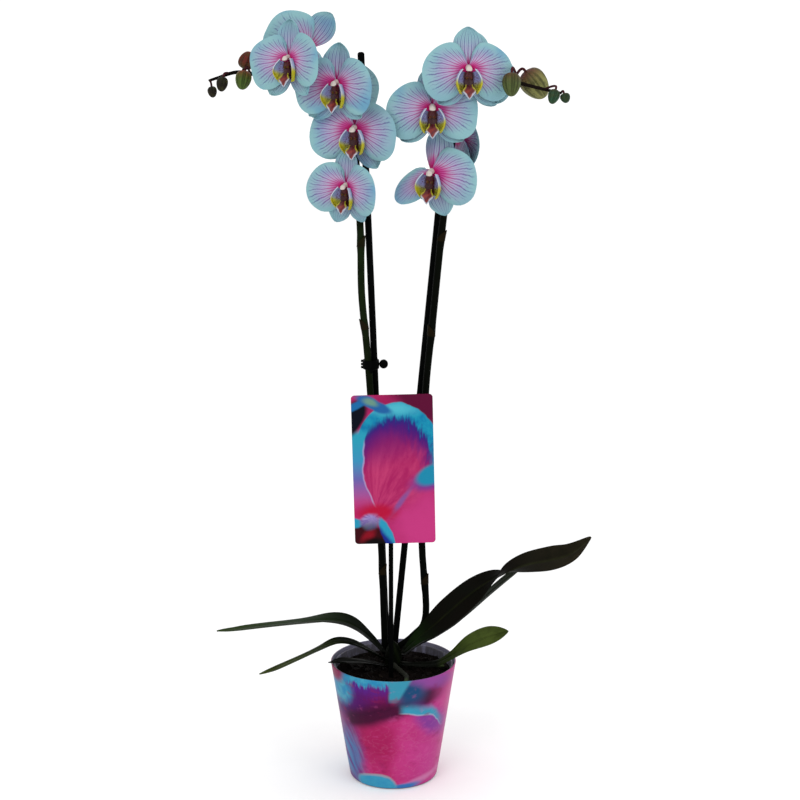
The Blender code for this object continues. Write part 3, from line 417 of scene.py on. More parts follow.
def sleeve_finish():
    """The cover pot's print: soft blue and magenta petal shapes round the pot."""
    finish = Finish("printed sleeve", 0.40, 0.06)
    step, noise, lay, patch = finish.step, finish.noise, finish.lay, finish.patch
    x, y, z = finish.split(finish.point)
    radius = (x * x + y * y) ** 0.5
    waver = noise(34, 3.0)
    ripple = noise(110, 3.0, 0.6)
    # The pattern's own place: u is 1 at the sides and 0 in front, v is 0 at the foot and 1 at the rim.
    u = x / radius + (waver - 0.5) * 0.10
    v = z / POT_HEIGHT + (waver - 0.5) * 0.08
    cloud, thread = print_ground(finish, 26, "CC3C86", "B42260")
    lay(step(u, -0.1, 0.85) * 0.75, "C84696")
    lay(patch(u, v, (-0.34, 0.46), (0.40, 0.22), 0.5) * 0.8, "AA1C58")
    lay(step(u, -0.5, -0.9) * 0.7, "6A2C78")
    # A dark band climbs to the right under the blue, with a purple and a maroon shade over it.
    climb = v - u * 0.165
    over = step(climb, 0.70, 0.84) * step(u, 0.02, -0.06)
    lay(over, finish.mix(step(u, -0.7, -0.1), "54126C", "700C50"))
    shade = step(climb, 0.60, 0.70) * step(climb, 0.88, 0.76)
    lay(shade * step(u, -0.95, -0.72) * step(u, 0.98, 0.55) * 0.92, "30062A")
    # Blue petal with a fringed lower edge, along the rim and down the left side.
    fringe = noise(360, 2.0, 0.6, (1.0, 1.0, 0.16))
    edge = v + (fringe - 0.5) * 0.17
    blue = finish.mix(step(ripple, 0.35, 0.7), "2C8CBC", "4CAAC4")
    lay(step(edge, 0.80, 0.93) * step(u, 0.04, -0.05) * step(u, -1.0, -0.7) * 0.75, "5A2490")
    lay(patch(u + (fringe - 0.5) * 0.10, v, (-0.90, 0.86), (0.22, 0.13), 0.4), blue)
    lay(step(edge, 0.925, 0.965) * step(u, 0.06, -0.02), blue)
    # A dark corner at the left, then a blue wedge that narrows downwards from teal shade and purple.
    finish.patches(u, v, (
        (1, -0.95, 1.01, 0.16, 0.11, 0.35, 0, "8C2454"),
        (1, 0.28, 0.90, 0.24, 0.13, 0.6, 0, "1C4C78"),
        (0.8, 0.60, 0.97, 0.34, 0.07, 0.6, -8, "8C4CA0"),
    ))
    wedge = step(u, -0.10, -0.04) * step(u - (v - 0.80) * 1.1, 0.10, 0.02)
    lay(wedge * step(v, 0.80, 0.86), "3C98B4")
    # The lobe: its lower edge is a wave with a thin pale line, and purple lies under it.
    wave = v + u * 0.08 + step(u, 0.62, 0.92) * 0.13 - 0.712
    inside = step(u, 0.06, 0.22)
    lay(patch(u, v, (0.66, 0.60), (0.30, 0.10), 0.7, -20) * 0.85, "7C3C9C")
    lobe = step(wave, -0.004, 0.004) * step(wave, 0.11, 0.03)
    lay(lobe * inside * step(u, 0.98, 0.66), "3C9CBC")
    line = step(wave, -0.014, -0.004) * step(wave, 0.010, 0.0)
    lay(line * inside * step(u, 0.92, 0.76) * 0.55, "A8C8DC")
    # Creases and flecks in the printed petal.
    crease = noise(60, 3.0, 0.55, (1.0, 1.0, 1.8))
    petal_area = step(climb, 0.66, 0.56) * step(u, -0.80, -0.60)
    lay(step(crease.away(0.5), 0.030, 0.0) * petal_area * 0.09, "E08CB8")
    lay(step(crease, 0.42, 0.30) * 0.40, "8C1850")
    lay(step(crease, 0.58, 0.72) * 0.25, "DC5CA4")
    # Streaks low on the left, and the pale leaf of blue at the foot with its tail.
    streak = step(noise(1.0, 2.0, at=finish.joined(u * 9 + v * 7, v * 2, 0.0)), 0.40, 0.62)
    low = patch(u + (ripple - 0.5) * 0.2, v, (-0.90, 0.24), (0.28, 0.24), 0.6)
    lay(low * 0.9, finish.mix(streak, "5A3484", "4484B8"))
    finish.patches(u, v, (
        (0.7, 0.50, 0.060, 0.52, 0.028, 0.7, 7, "D88CBC"),
        (1, 0.12, 0.015, 0.46, 0.035, 0.4, 3, "3C7CC0"),
        (0.6, -0.36, 0.045, 0.43, 0.090, 0.10, 0, "90C4CC"),
    ))
    foot = patch(u + (ripple - 0.5) * 0.06, v, (-0.36, 0.035), (0.42, 0.080), 0.14)
    lay(foot, finish.mix(ripple, "2C8CC0", "4CB0CC"))
    lay(thread * 0.16, "FFFFFF", "SOFT_LIGHT")
    # The inside of the pot isn't printed.
    bare = step(radius - z * POT_SLOPE, POT_BASE_RADIUS - 0.0006, POT_BASE_RADIUS - 0.0009)
    lay(bare, finish.mix(cloud, "6C6A78", "A09EB8"))
    return finish.done(0.28 + cloud * 0.14, ripple * 0.5 + thread * 0.5, 0.0001, 0.4)


def card_finish():
    """The card's print: one large petal in blue and magenta; its back is plain."""
    finish = Finish("printed card", 0.40, 0.06)
    step, noise, lay, patch = finish.step, finish.noise, finish.lay, finish.patch
    x, y, z = finish.split(finish.point)
    low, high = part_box("label_card")
    centre, half = (low + high) / 2, (high - low) / 2
    waver = noise(42, 3.0)
    ripple = noise(160, 3.0, 0.6)
    # u and v run from -1 to 1 across and up the card.
    u = (x - centre.x) / half.x + (waver - 0.5) * 0.14
    v = (z - centre.z) / half.z + (waver - 0.5) * 0.08
    cloud, thread = print_ground(finish, 22, "C83078", "A01A54")
    finish.patches(u, v, (
        (0.85, 0.62, -0.66, 0.62, 0.46, 0.5, 0, "CC3C84"),
        (1, 0.55, 1.02, 0.90, 0.36, 0.45, -24, "5E0A34"),
    ))
    # The petal: a blue rim, a fringe of purple, and a veined pink middle that narrows to its foot.
    blue = finish.mix(step(ripple, 0.3, 0.7), "0C7CAC", "1C98B8")
    blue = finish.mix(patch(u, v, (0.02, 0.80), (0.50, 0.08), 0.8), blue, "50BCD0")
    lay(patch(u, v, (0.08, 0.30), (0.96, 0.58), 0.02) * step(v, -0.06, 0.14), blue)
    fringe = noise(300, 2.0, 0.6, (1.0, 1.0, 0.25))
    along = u + (fringe - 0.5) * 0.30
    finish.patches(along, v + (fringe - 0.5) * 0.26, (
        (1, 0.04, 0.17, 0.85, 0.52, 0.10, 0, "1E2880"),
        (1, 0.04, 0.11, 0.82, 0.52, 0.14, 0, "4A1878"),
    ))
    angle = finish.node("Math", {"operation": "ARCTAN2"}, {0: u + 0.50, 1: v + 0.66})
    ray = noise(1.0, 3.0, 0.6, finish.joined(angle * 7, (v + u) * 1.6, ripple * 0.6))
    flesh = finish.mix(step(ray, 0.28, 0.76), "AC2060", "C83E74")
    flesh = finish.mix(step(v - u * 0.15, 0.0, 0.42) * 0.85, flesh, "7C1468")
    lay(patch(along, v + (fringe - 0.5) * 0.16, (0.00, -0.03), (0.80, 0.50), 0.30), flesh)
    lay(patch(u, v, (-0.28, -0.32), (0.46, 0.42), 0.30, 8), flesh)
    # Left of it another petal's edge: blue above, lilac and pink further down, with a pale rim.
    waist = u + 0.70 - (v - 0.02) * (v - 0.02) * 0.9 + step(v, 0.1, 0.4) * 0.12
    stops = ((0.28, "B84C90"), (0.44, "6C64B0"), (0.56, "3C94C0"), (0.68, "2CA0BC"))
    beside = step(waist, 0.015, -0.015) * step(v, -0.56, -0.34) * step(v, 0.56, 0.44)
    lay(beside, finish.node("ValToRGB", {"stops": stops}, {0: v * 0.5 + 0.5}))
    rim = step(waist, -0.03, -0.005) * step(waist, 0.03, 0.005)
    lay(rim * step(v, -0.62, -0.40) * step(v, 0.42, 0.28) * 0.6, "B8A8D8")
    finish.patches(u, v, (
        # Blue at the right, dark at the upper left, and a crease of lilac to the right of the foot.
        (1, 0.86, -0.14, 0.40, 0.12, 0.6, 8, "6C3C98"),
        (1, 0.92, -0.06, 0.40, 0.13, 0.25, 12, "1E8CB0"),
        (1, -1.00, 0.66, 0.42, 0.20, 0.22, 30, "020818"),
        (1, -0.90, 0.84, 0.36, 0.05, 0.35, 14, "1C6CA8"),
        (1, -0.46, 0.86, 0.42, 0.075, 0.25, -14, "2464A4"),
        (1, -0.54, 0.89, 0.17, 0.045, 0.6, -8, "6C9888"),
        (0.8, 0.16, -0.44, 0.30, 0.045, 0.6, 36, "7C58A0"),
        # The foot: red where the petals meet, and dark and blue shapes under it.
        (1, -0.40, -0.58, 0.42, 0.10, 0.6, 0, "BC103C"),
        (1, -0.66, -0.92, 0.66, 0.20, 0.20, -6, "3C0410"),
        (1, -0.60, -0.90, 0.16, 0.08, 0.6, 20, "8C0C20"),
        (1, -0.40, -1.00, 0.36, 0.09, 0.4, 0, "060204"),
        (1, -0.94, -0.71, 0.22, 0.07, 0.25, 0, "2898BC"),
        (1, -0.14, -0.87, 0.30, 0.095, 0.16, -42,
         finish.mix(step(u * 0.6 + v, -1.02, -0.92), "182C8C", "2C9CC0")),
    ))
    # A pale knob lies over the foot.
    pearl = finish.mix(step(v, -0.80, -0.62), "4C5468", "A490CC")
    pearl = finish.mix(step(ray, 0.5, 0.6) * 0.6, pearl, "5C3C98")
    lay(patch(u, v, (-0.56, -0.70), (0.21, 0.105), 0.30), pearl)
    lay(thread * 0.12, "FFFFFF", "SOFT_LIGHT")
    back = step(y, centre.y + half.y * 0.2, centre.y + half.y * 0.5)
    lay(back, finish.mix(cloud, "A01C58", "B8286A"))
    return finish.done(0.24 + cloud * 0.12, ripple * 0.5 + thread * 0.5, 0.00008, 0.4)


def floor_finish():
    """Matt white paper."""
    finish = Finish("studio floor", 0.9, 0.05)
    finish.skin = finish.mix(finish.noise(12, 3.0), (0.90, 0.90, 0.90, 1.0), (0.95, 0.95, 0.95, 1.0))
    return finish.done()

# ---------------------------------------------------------------- shapes


# The rounded ends of a tube: push along it and size, over its radius.
TUBE_START = ((-0.55, 0.45), (-0.30, 0.85), (0.0, 1.0))
TUBE_END = ((0.0, 1.0), (0.30, 0.85), (0.55, 0.45))


class Shape:
    """A mesh in the making: its points, what the finish reads at each, and its faces."""

    def __init__(self):
        self.points, self.places, self.tints, self.faces = [], [], [], []

    def point(self, where, place=(0.0, 0.0, 0.0), tint=(1.0, 1.0, 1.0)):
        self.points.append(Vector(where))
        self.places.append(place)
        self.tints.append(tint)
        return len(self.points) - 1

    def quads(self, rows, wrap=False):
        for first, second in zip(rows, rows[1:]):
            if wrap:
                first, second = [*first, first[0]], [*second, second[0]]
            self.faces += zip(first, first[1:], second[1:], second)

    def cap(self, ring):
        """Close a ring with triangles round one point."""
        middle = sum((self.points[i] for i in ring), Vector()) / len(ring)
        top = self.point(middle, self.places[ring[0]], self.tints[ring[0]])
        self.faces += [(a, b, top) for a, b in zip(ring, [*ring[1:], ring[0]])]

    def sheet(self, rows, lines, at, thickness, pose=Matrix.Identity(4)):
        """A closed sheet; at(s, t) gives its (point, place, tint) at shares s down and t across."""
        grid = [[at(i / rows, j / lines) for j in range(lines + 1)] for i in range(rows + 1)]
        grid = [[(pose @ where, place, tint) for where, place, tint in row] for row in grid]
        normals = grid_normals([[where for where, _, _ in row] for row in grid])
        layers = []
        for side in (0.5, -0.5):
            layers.append([[
                self.point(where + normals[i][j] * thickness(i / rows, j / lines) * side, place, tint)
                for j, (where, place, tint) in enumerate(row)] for i, row in enumerate(grid)])
            self.quads(layers[-1])
        loop = [(0, j) for j in range(lines)] + [(i, lines) for i in range(rows)]
        loop += [(rows, j) for j in range(lines, 0, -1)] + [(i, 0) for i in range(rows, 0, -1)]
        self.quads([[layer[i][j] for i, j in loop] for layer in layers], wrap=True)

    def rings(self, rings):
        """A closed skin over rings of points with their data, capped at both ends."""
        rows = [[self.point(*entry) for entry in ring] for ring in rings]
        self.quads(rows, wrap=True)
        self.cap(rows[0])
        self.cap(rows[-1])

    def skin(self, steps, sides, at, pose=Matrix.Identity(4)):
        """A closed skin; at(s, angle) gives its (point, place, tint) at share s and an angle."""
        rings = [[at(i / steps, TURN * k / sides) for k in range(sides)] for i in range(steps + 1)]
        self.rings([[(pose @ where, place, tint) for where, place, tint in ring] for ring in rings])

    def tube(self, path, radii, sides, tint_at, lines=0.0):
        """A round tube with rounded ends; tint_at gives the colour for a share of its length."""
        path = [Vector(p) for p in path]
        lengths = [0.0]
        for a, b in zip(path, path[1:]):
            lengths.append(lengths[-1] + (b - a).length)
        total = lengths[-1]
        across = (path[1] - path[0]).normalized().orthogonal().normalized()
        rings = []
        for i, here in enumerate(path):
            tangent = (path[min(i + 1, len(path) - 1)] - path[max(i - 1, 0)]).normalized()
            across = (across - tangent * across.dot(tangent)).normalized()
            beside = tangent.cross(across)
            share = lengths[i] / total
            ends = {0: TUBE_START, len(path) - 1: TUBE_END}
            for push, size in ends.get(i, [(0.0, 1.0)]):
                ring = []
                for k in range(sides):
                    angle = TURN * k / sides
                    out = across * math.cos(angle) + beside * math.sin(angle)
                    where = here + tangent * push * radii[i] + out * radii[i] * size
                    ring.append((where, (share, k / sides, lines), tint_at(share)))
                rings.append(ring)
        self.rings(rings)

    def made(self, name, material, smooth_angle=40.0):
        mesh = bpy.data.meshes.new(name)
        mesh.from_pydata(self.points, [], self.faces)
        place = mesh.attributes.new("place", "FLOAT_VECTOR", "POINT")
        place.data.foreach_set("vector", [value for entry in self.places for value in entry])
        tint = mesh.attributes.new("tint", "FLOAT_COLOR", "POINT")
        tint.data.foreach_set("color", [value for entry in self.tints for value in (*entry, 1.0)])
        return solid_object(name, mesh, material, smooth_angle)


def solid_object(name, mesh, material, smooth_angle):
    """An object whose mesh has its doubles merged, its faces outwards and its finish on."""
    build = bmesh.new()
    build.from_mesh(mesh)
    bmesh.ops.remove_doubles(build, verts=build.verts, dist=1e-7)
    bmesh.ops.recalc_face_normals(build, faces=build.faces)
    build.to_mesh(mesh)
    build.free()
    mesh.shade_smooth()
    mesh.set_sharp_from_angle(angle=math.radians(smooth_angle))
    mesh.materials.clear()
    mesh.materials.append(material)
    item = bpy.data.objects.new(name, mesh)
    bpy.context.scene.collection.objects.link(item)
    return item


def grid_normals(rows):
    """Unit normals of a grid of points; a point that its row gives none takes its neighbour's."""
    last, end = len(rows) - 1, len(rows[0]) - 1
    normals = []
    for i, row in enumerate(rows):
        line = []
        for j in range(end + 1):
            down = rows[min(i + 1, last)][j] - rows[max(i - 1, 0)][j]
            across = row[min(j + 1, end)] - row[max(j - 1, 0)]
            line.append(down.cross(across).normalized())
        normals.append(line)
    for i in range(last - 1, -1, -1):
        for j in range(end + 1):
            if normals[i][j].length < 0.5:
                normals[i][j] = normals[i + 1][j].copy()
    return normals


def piece(item, slot, *nodes):
    """A finished piece: it rides on the root and stands for nodes; its slot is not used."""
    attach(item, "root")
    if nodes:
        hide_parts(*nodes)
    return item


def above_bark(point):
    """A place given in millimetres from the middle of the bark's top, in the frame's metres."""
    x, y, z = (value / PER_METRE for value in point)
    return Vector((x, y, z + BARK_LEVEL))


def blend(first, second, share):
    return tuple(a + (b - a) * share for a, b in zip(first, second))


def colour_along(stops, share):
    """A colour between stops of (share, colour)."""
    for (low, first), (high, second) in zip(stops, stops[1:]):
        if share <= high:
            return blend(first, second, max(0.0, (share - low) / (high - low)))
    return stops[-1][1]


def colour_stops(stops):
    return tuple((share, rgb(code)) for share, code in stops)


def smooth(value, low, high):
    share = min(1.0, max(0.0, (value - low) / (high - low)))
    return share * share * (3 - 2 * share)


def between(a, b, c, d, t):
    """The value at share t from b to c on a smooth curve through four values."""
    return 0.5 * (2 * b + (c - a) * t + (2 * a - 5 * b + 4 * c - d) * t * t
                  + (3 * b - a - 3 * c + d) * t ** 3)


def smooth_path(points, added):
    """The points of a smooth curve through the given rows of numbers."""
    rows = [points[0], *points, points[-1]]
    path = []
    for i in range(1, len(rows) - 2):
        for k in range(added + 1):
            t = k / (added + 1)
            path.append([between(*values, t) for values in zip(*rows[i - 1:i + 3])])
    path.append(list(points[-1]))
    return path


def curve_value(table, x):
    """The value at x on a smooth curve through (x, value) pairs."""
    if x <= table[0][0]:
        return table[0][1]
    for i in range(len(table) - 1):
        (low, b), (high, c) = table[i], table[i + 1]
        if x <= high:
            a = table[max(i - 1, 0)][1]
            d = table[min(i + 2, len(table) - 1)][1]
            return between(a, b, c, d, (x - low) / (high - low))
    return table[-1][1]


def turned(shape, profile, steps, wobble=None):
    """Rings about Z on a closed profile of (radius, height), with a change of radius by angle."""
    columns = []
    for k in range(steps):
        angle = TURN * k / steps
        change = wobble(angle) if wobble else 0.0
        reaches = [(radius + change if radius > 0 else 0.0, z) for radius, z in profile]
        columns.append([shape.point((reach * math.sin(angle), -reach * math.cos(angle), z))
                        for reach, z in reaches])
    rows = [list(row) for row in zip(*columns)]
    shape.quads(rows, wrap=True)


def arc(centre, radius, start, end, count):
    angles = [math.radians(start + (end - start) * i / count) for i in range(count + 1)]
    return [(centre[0] + radius * math.cos(a), centre[1] + radius * math.sin(a)) for a in angles]

# ---------------------------------------------------------------- flowers

# Distance to a petal's edge over its reach, by the angle in degrees above the horizontal.
PETAL_EDGE = (
    (-74, 0.34), (-67, 0.56), (-58, 0.76), (-44, 0.95), (-28, 1.03), (-13, 1.01), (3, 0.98),
    (17, 0.93), (31, 0.84), (45, 0.74), (57, 0.66), (67, 0.57), (74, 0.36),
)
PETAL_SPREAD = 74
# Petals that hang: how far they drop (degrees), the share of their height that their fold
# leaves, and their bend back. The top sepal of the second flower here is broad.
ODD_FLOWERS = {
    "left_flower_5": {"right petal": (48, 0.55, 10)},
    "right_flower_1": {"left petal": (38, 0.48, -4), "top sepal": 1.42},
}
# Half width of a sepal, and of the lip's tongue, over its widest, by the share of its length;
# and the same for the column over its foot.
SEPAL_SIDES = (
    (0.0, 0.16), (0.12, 0.44), (0.28, 0.76), (0.45, 0.96), (0.60, 1.00), (0.75, 0.90), (0.86, 0.68),
    (0.94, 0.42), (0.985, 0.20), (1.0, 0.05),
)
TONGUE_SIDES = (
    (0.0, 0.55), (0.16, 0.62), (0.34, 0.95), (0.50, 1.00), (0.66, 0.74), (0.84, 0.42), (1.0, 0.10))
COLUMN_SIDES = ((0.0, 0.95), (0.2, 0.90), (0.5, 0.78), (0.75, 0.92), (0.9, 0.74), (1.0, 0.16))
TEPAL_THICKNESS = 0.00075
PETAL_BULGE = 0.0040            # how far a petal's middle stands out of its plane
PETAL_EDGE_DROP = 0.0030        # how far its edge curls back
PETAL_WAVE = 0.0011
PETAL_GROOVE = 0.0007
SEPAL_KEEL = 0.0022             # how far a sepal's sides stand out over its middle line
SEPAL_GROOVE = 0.0004
SEPAL_WAVE = 0.0007
TONGUE_HALF_WIDTH = 0.0058
LIP = {
    "cream": rgb("D6CBC2"), "maroon": rgb("34080F"), "wine": rgb("5E1620"),
    "brick": rgb("8C3026"), "blue": rgb("94ACD0"), "lilac": rgb("7A7CB0"),
    "white": rgb("C8D2E2"), "yellow": rgb("C0B81C"), "olive": rgb("8C8C1E"),
    "pink": rgb("C86A9C"),
}


def flower_frame(place, turn, tilt, roll, size):
    """A flower's own frame: X to the right, Y up and Z out of its face."""
    turn, tilt = math.radians(turn), math.radians(tilt)
    facing = Vector((
        math.sin(turn) * math.cos(tilt), -math.cos(turn) * math.cos(tilt), math.sin(tilt)))
    right = Vector((0, 0, 1)).cross(facing).normalized()
    axes = Matrix((right, facing.cross(right), facing)).transposed().to_4x4()
    spin = Matrix.Rotation(math.radians(roll), 4, "Z")
    return Matrix.Translation(place) @ axes @ spin @ Matrix.Scale(size, 4)


def laid_back(x, y, z, bends):
    """A tepal's point with the flower's left or right half turned back about its upright."""
    bend = math.radians(bends[0] if x < 0 else bends[1])
    ease = smooth(abs(x), 0.0, 0.006)
    return Vector((x * (1 + (math.cos(bend) - 1) * ease), y, z - abs(x) * math.sin(bend)))


def petal(shape, pose, side, bends, marking, phase, drop, squeeze):
    """One broad petal as a fan of lines from the flower's middle, dropped and squeezed if asked."""
    fall = math.radians(drop)

    def at(s, t):
        along, fan = 0.05 + 0.95 * s, 2 * t - 1
        angle = math.radians(fan * PETAL_SPREAD)
        frill = 1 + 0.012 * math.sin(9 * fan + phase) * along
        reach = PETAL_REACH * curve_value(PETAL_EDGE, fan * PETAL_SPREAD) * along * frill
        x, y = reach * math.cos(angle), reach * math.sin(angle) * squeeze
        x, y = x * math.cos(fall) + y * math.sin(fall), y * math.cos(fall) - x * math.sin(fall)
        bulge = PETAL_BULGE * math.sin(math.pi * min(1.0, along * 0.9)) * (1 - fan * fan)
        lip = -PETAL_EDGE_DROP * along ** 4 * (0.4 + fan * fan)
        wave = PETAL_WAVE * along ** 3 * math.sin(6.5 * fan + phase)
        groove = -PETAL_GROOVE * math.exp(-(fan / 0.07) ** 2) * along * (1 - along) * 4
        where = laid_back(side * x, y, 0.0008 + bulge + lip + wave + groove, bends)
        return where, (along, fan, marking), WHITE

    shape.sheet(22, 30, at, lambda s, t: TEPAL_THICKNESS - 0.00035 * s, pose)


def sepal(shape, pose, direction, length, width, bends, marking, phase):
    """One sepal: a pointed oval with a keel, behind the petals."""
    heading = math.radians(direction)
    out = Vector((math.cos(heading), math.sin(heading)))
    beside = Vector((-out.y, out.x))
    reach = SEPAL_REACH * length

    def at(s, t):
        along, fan = 0.04 + 0.96 * s, 2 * t - 1
        half = SEPAL_HALF_WIDTH * width * curve_value(SEPAL_SIDES, along)
        flat = out * reach * along + beside * half * fan
        keel = SEPAL_KEEL * fan * fan * along - SEPAL_GROOVE * math.exp(-(fan / 0.12) ** 2)
        wave = SEPAL_WAVE * along ** 2 * math.sin(5 * along + 3 * fan + phase)
        rise = -TEPAL_SPACING - SEPAL_SWEEP * reach * along + keel + wave
        return laid_back(flat.x, flat.y, rise, bends), (along, fan, marking), WHITE

    shape.sheet(22, 14, at, lambda s, t: TEPAL_THICKNESS - 0.0003 * s, pose)


def lip_lobe(shape, pose, side):
    """A side lobe of the lip: an ear that stands forward beside the throat."""

    def at(s, t):
        bow = math.sin(math.pi * s)
        swell = math.sin(math.pi * (0.12 + 0.72 * s))
        root = Vector((side * (0.0022 + 0.0014 * bow), -0.0035 - 0.0165 * s, 0.0035))
        rim = Vector((side * (0.0040 + 0.0088 * swell), -0.0005 - 0.0225 * s, 0.0085 + 0.0050 * bow))
        out = math.sin(math.pi * t) * 0.0022
        roll = 0.0018 * smooth(t, 0.75, 1.0)
        where = root.lerp(rim, t) + Vector((side * (out - roll), 0.0, -out * 0.8 - roll * 0.2))
        upper = blend(LIP["lilac"], LIP["blue"], smooth(t, 0.35, 0.70))
        upper = blend(upper, LIP["white"], smooth(t, 0.82, 1.0))
        lower = blend(LIP["olive"], LIP["yellow"], smooth(t, 0.30, 0.60))
        outer = blend(upper, lower, smooth(s + 0.2 * t, 0.50, 0.76))
        edge = 0.05 + 0.05 * math.sin(7 * s + 1)
        tint = blend(LIP["maroon"], outer, smooth(t, edge, edge + 0.14))
        freckled = max(1 - smooth(t, 0.25, 0.6), 0.6 * smooth(s, 0.55, 0.8))
        return where, (t, s, freckled), tint

    shape.sheet(16, 10, at, lambda s, t: 0.0007, pose)


def lip_throat(shape, pose):
    """The dark freckled floor of the lip between its side lobes."""

    def at(s, t):
        t = 2 * t - 1
        half = 0.0024 + 0.0016 * math.sin(math.pi * s)
        where = (half * t, -0.0030 - 0.0175 * s, 0.0042 + 0.0016 * s - 0.0010 * (1 - t * t))
        tint = blend(LIP["wine"], LIP["maroon"], smooth(s, 0.0, 0.5))
        return Vector(where), (t, s, 0.9), tint

    shape.sheet(12, 8, at, lambda s, t: 0.0008, pose)


def lip_tongue(shape, pose):
    """The middle lobe: a folded arrowhead with a pale edge."""

    def at(s, t):
        t = 2 * t - 1
        half = TONGUE_HALF_WIDTH * curve_value(TONGUE_SIDES, s)
        fold = 0.0016 * abs(t) * (1 - s * 0.6)
        where = (half * t, -0.0155 - 0.0125 * s + 0.0010 * abs(t),
                 0.0062 + 0.0050 * math.sin(1.9 * s) + fold)
        core = blend(LIP["maroon"], LIP["brick"], smooth(s, 0.10, 0.40))
        core = blend(core, LIP["wine"], 0.5 + 0.5 * math.sin(13 * s + 4 * t))
        wing = blend(LIP["yellow"], LIP["white"], smooth(s, 0.35, 0.60))
        inner = 0.62 - 0.22 * smooth(s, 0.4, 0.8) + 0.06 * math.sin(17 * s)
        tint = blend(core, wing, 0.85 * smooth(abs(t), inner + 0.08, inner + 0.34))
        tint = blend(tint, LIP["white"], 0.7 * smooth(s, 0.84, 1.0))
        return Vector(where), (t, s, 0.5 * (1 - s)), tint

    shape.sheet(20, 12, at, lambda s, t: 0.0009, pose)


def column(shape, pose):
    """The column: a short hooded club that points out over the throat, with a callus each side."""

    def club(s, angle):
        size = curve_value(COLUMN_SIDES, s)
        x, y = math.cos(angle), math.sin(angle)
        hollow = 0.55 if y < 0 else 1.0
        where = (0.0032 * size * x, 0.0006 - 0.0030 * s * s + 0.0034 * size * y * hollow,
                 0.0010 + 0.0096 * s)
        under = smooth(-y, 0.15, 0.70) * smooth(s, 0.15, 0.5)
        tint = blend(LIP["cream"], LIP["wine"], under * 0.85)
        return Vector(where), (s, y, under), blend(LIP["pink"], tint, smooth(s, 0.0, 0.22))

    def callus(s, angle):
        size = 0.0013 * math.sin(math.pi * (0.06 + 0.88 * s))
        where = (side * 0.0019 + size * math.cos(angle), -0.0085 + size * math.sin(angle),
                 0.0038 + 0.0046 * s)
        return Vector(where), (s, 0.0, 1.0), blend(LIP["olive"], LIP["wine"], s)

    shape.skin(16, 18, club, pose)
    for side in (-1, 1):
        shape.skin(8, 10, callus, pose)


def flower(name, spec, finishes, draw):
    """The petals, sepals and lip of one flower, each in place of its own node."""
    place, turn, tilt, roll, size, left_bend, right_bend, left_low, right_low, marking = spec
    pose = flower_frame(above_bark(place), turn, tilt, roll, size)
    bends = (left_bend, right_bend)
    petals, sepals, lip = Shape(), Shape(), Shape()
    odd = ODD_FLOWERS.get(name, {})
    for side, word, bend in ((-1, "left", left_bend), (1, "right", right_bend)):
        drop, squeeze, bend = odd.get(f"{word} petal", (0, 1, bend))
        petal(petals, pose, side, (bend, bend), marking, draw.uniform(0, 6), drop, squeeze)
    for direction, length, width in ((90, 0.97, odd.get("top sepal", 1.06)),
                                     (left_low, 1.06, 0.98), (right_low, 1.06, 0.98)):
        sepal(sepals, pose, direction, length, width, bends, marking, draw.uniform(0, 6))
    for side in (-1, 1):
        lip_lobe(lip, pose, side)
    lip_throat(lip, pose)
    lip_tongue(lip, pose)
    column(lip, pose)
    for shape, look, part in ((petals, "veined_petals", "petal"), (sepals, "veined_sepals", "sepal"),
                              (lip, "waxy_lip", "lip")):
        node = f"{name}_lip" if part == "lip" else f"{name}_{part}s"
        piece(shape.made(f"{name}_{look}", finishes[part]), part, node)

# ---------------------------------------------------------------- stems, buds, leaves and roots


def beside_crown(direction, rise, away):
    """A place beside the crown, in millimetres from the middle of the bark's top."""
    angle = math.radians(direction)
    reach = PER_METRE * CROWN_RADIUS + 0.3 + away
    return (reach * math.cos(angle), PER_METRE * CROWN_Y + reach * math.sin(angle), rise)


def stalk_path(start, end, arrival):
    """A stalk that leaves the spike at start and meets end along the arrival direction."""
    meet_end = end - arrival * 0.0020
    reach = (meet_end - start).length
    leave = start + Vector((0, 0, 0.05 * reach))
    meet = meet_end - arrival * reach * 0.35
    path = []
    for i in range(13):
        t = i / 12
        s = 1 - t
        path.append(start * s**3 + leave * 3 * s * s * t + meet * 3 * s * t * t + meet_end * t**3)
    return [*path, end]


def bract(shape, here, axis, toward, radius, height, tint):
    """A small scale leaf that wraps a node of the spike and ends in a point."""
    across = (toward - axis * toward.dot(axis)).normalized()
    beside = axis.cross(across)

    def at(s, t):
        angle = math.radians(150 * (1 - s) ** 0.8 + 4) * (2 * t - 1)
        out = across * math.cos(angle) + beside * math.sin(angle)
        where = here + axis * height * (s - 0.15) + out * (radius + 0.0004 + 0.0008 * s * s)
        return where, (s, t, 0.0), tint

    shape.sheet(8, 8, at, lambda s, t: 0.0005)


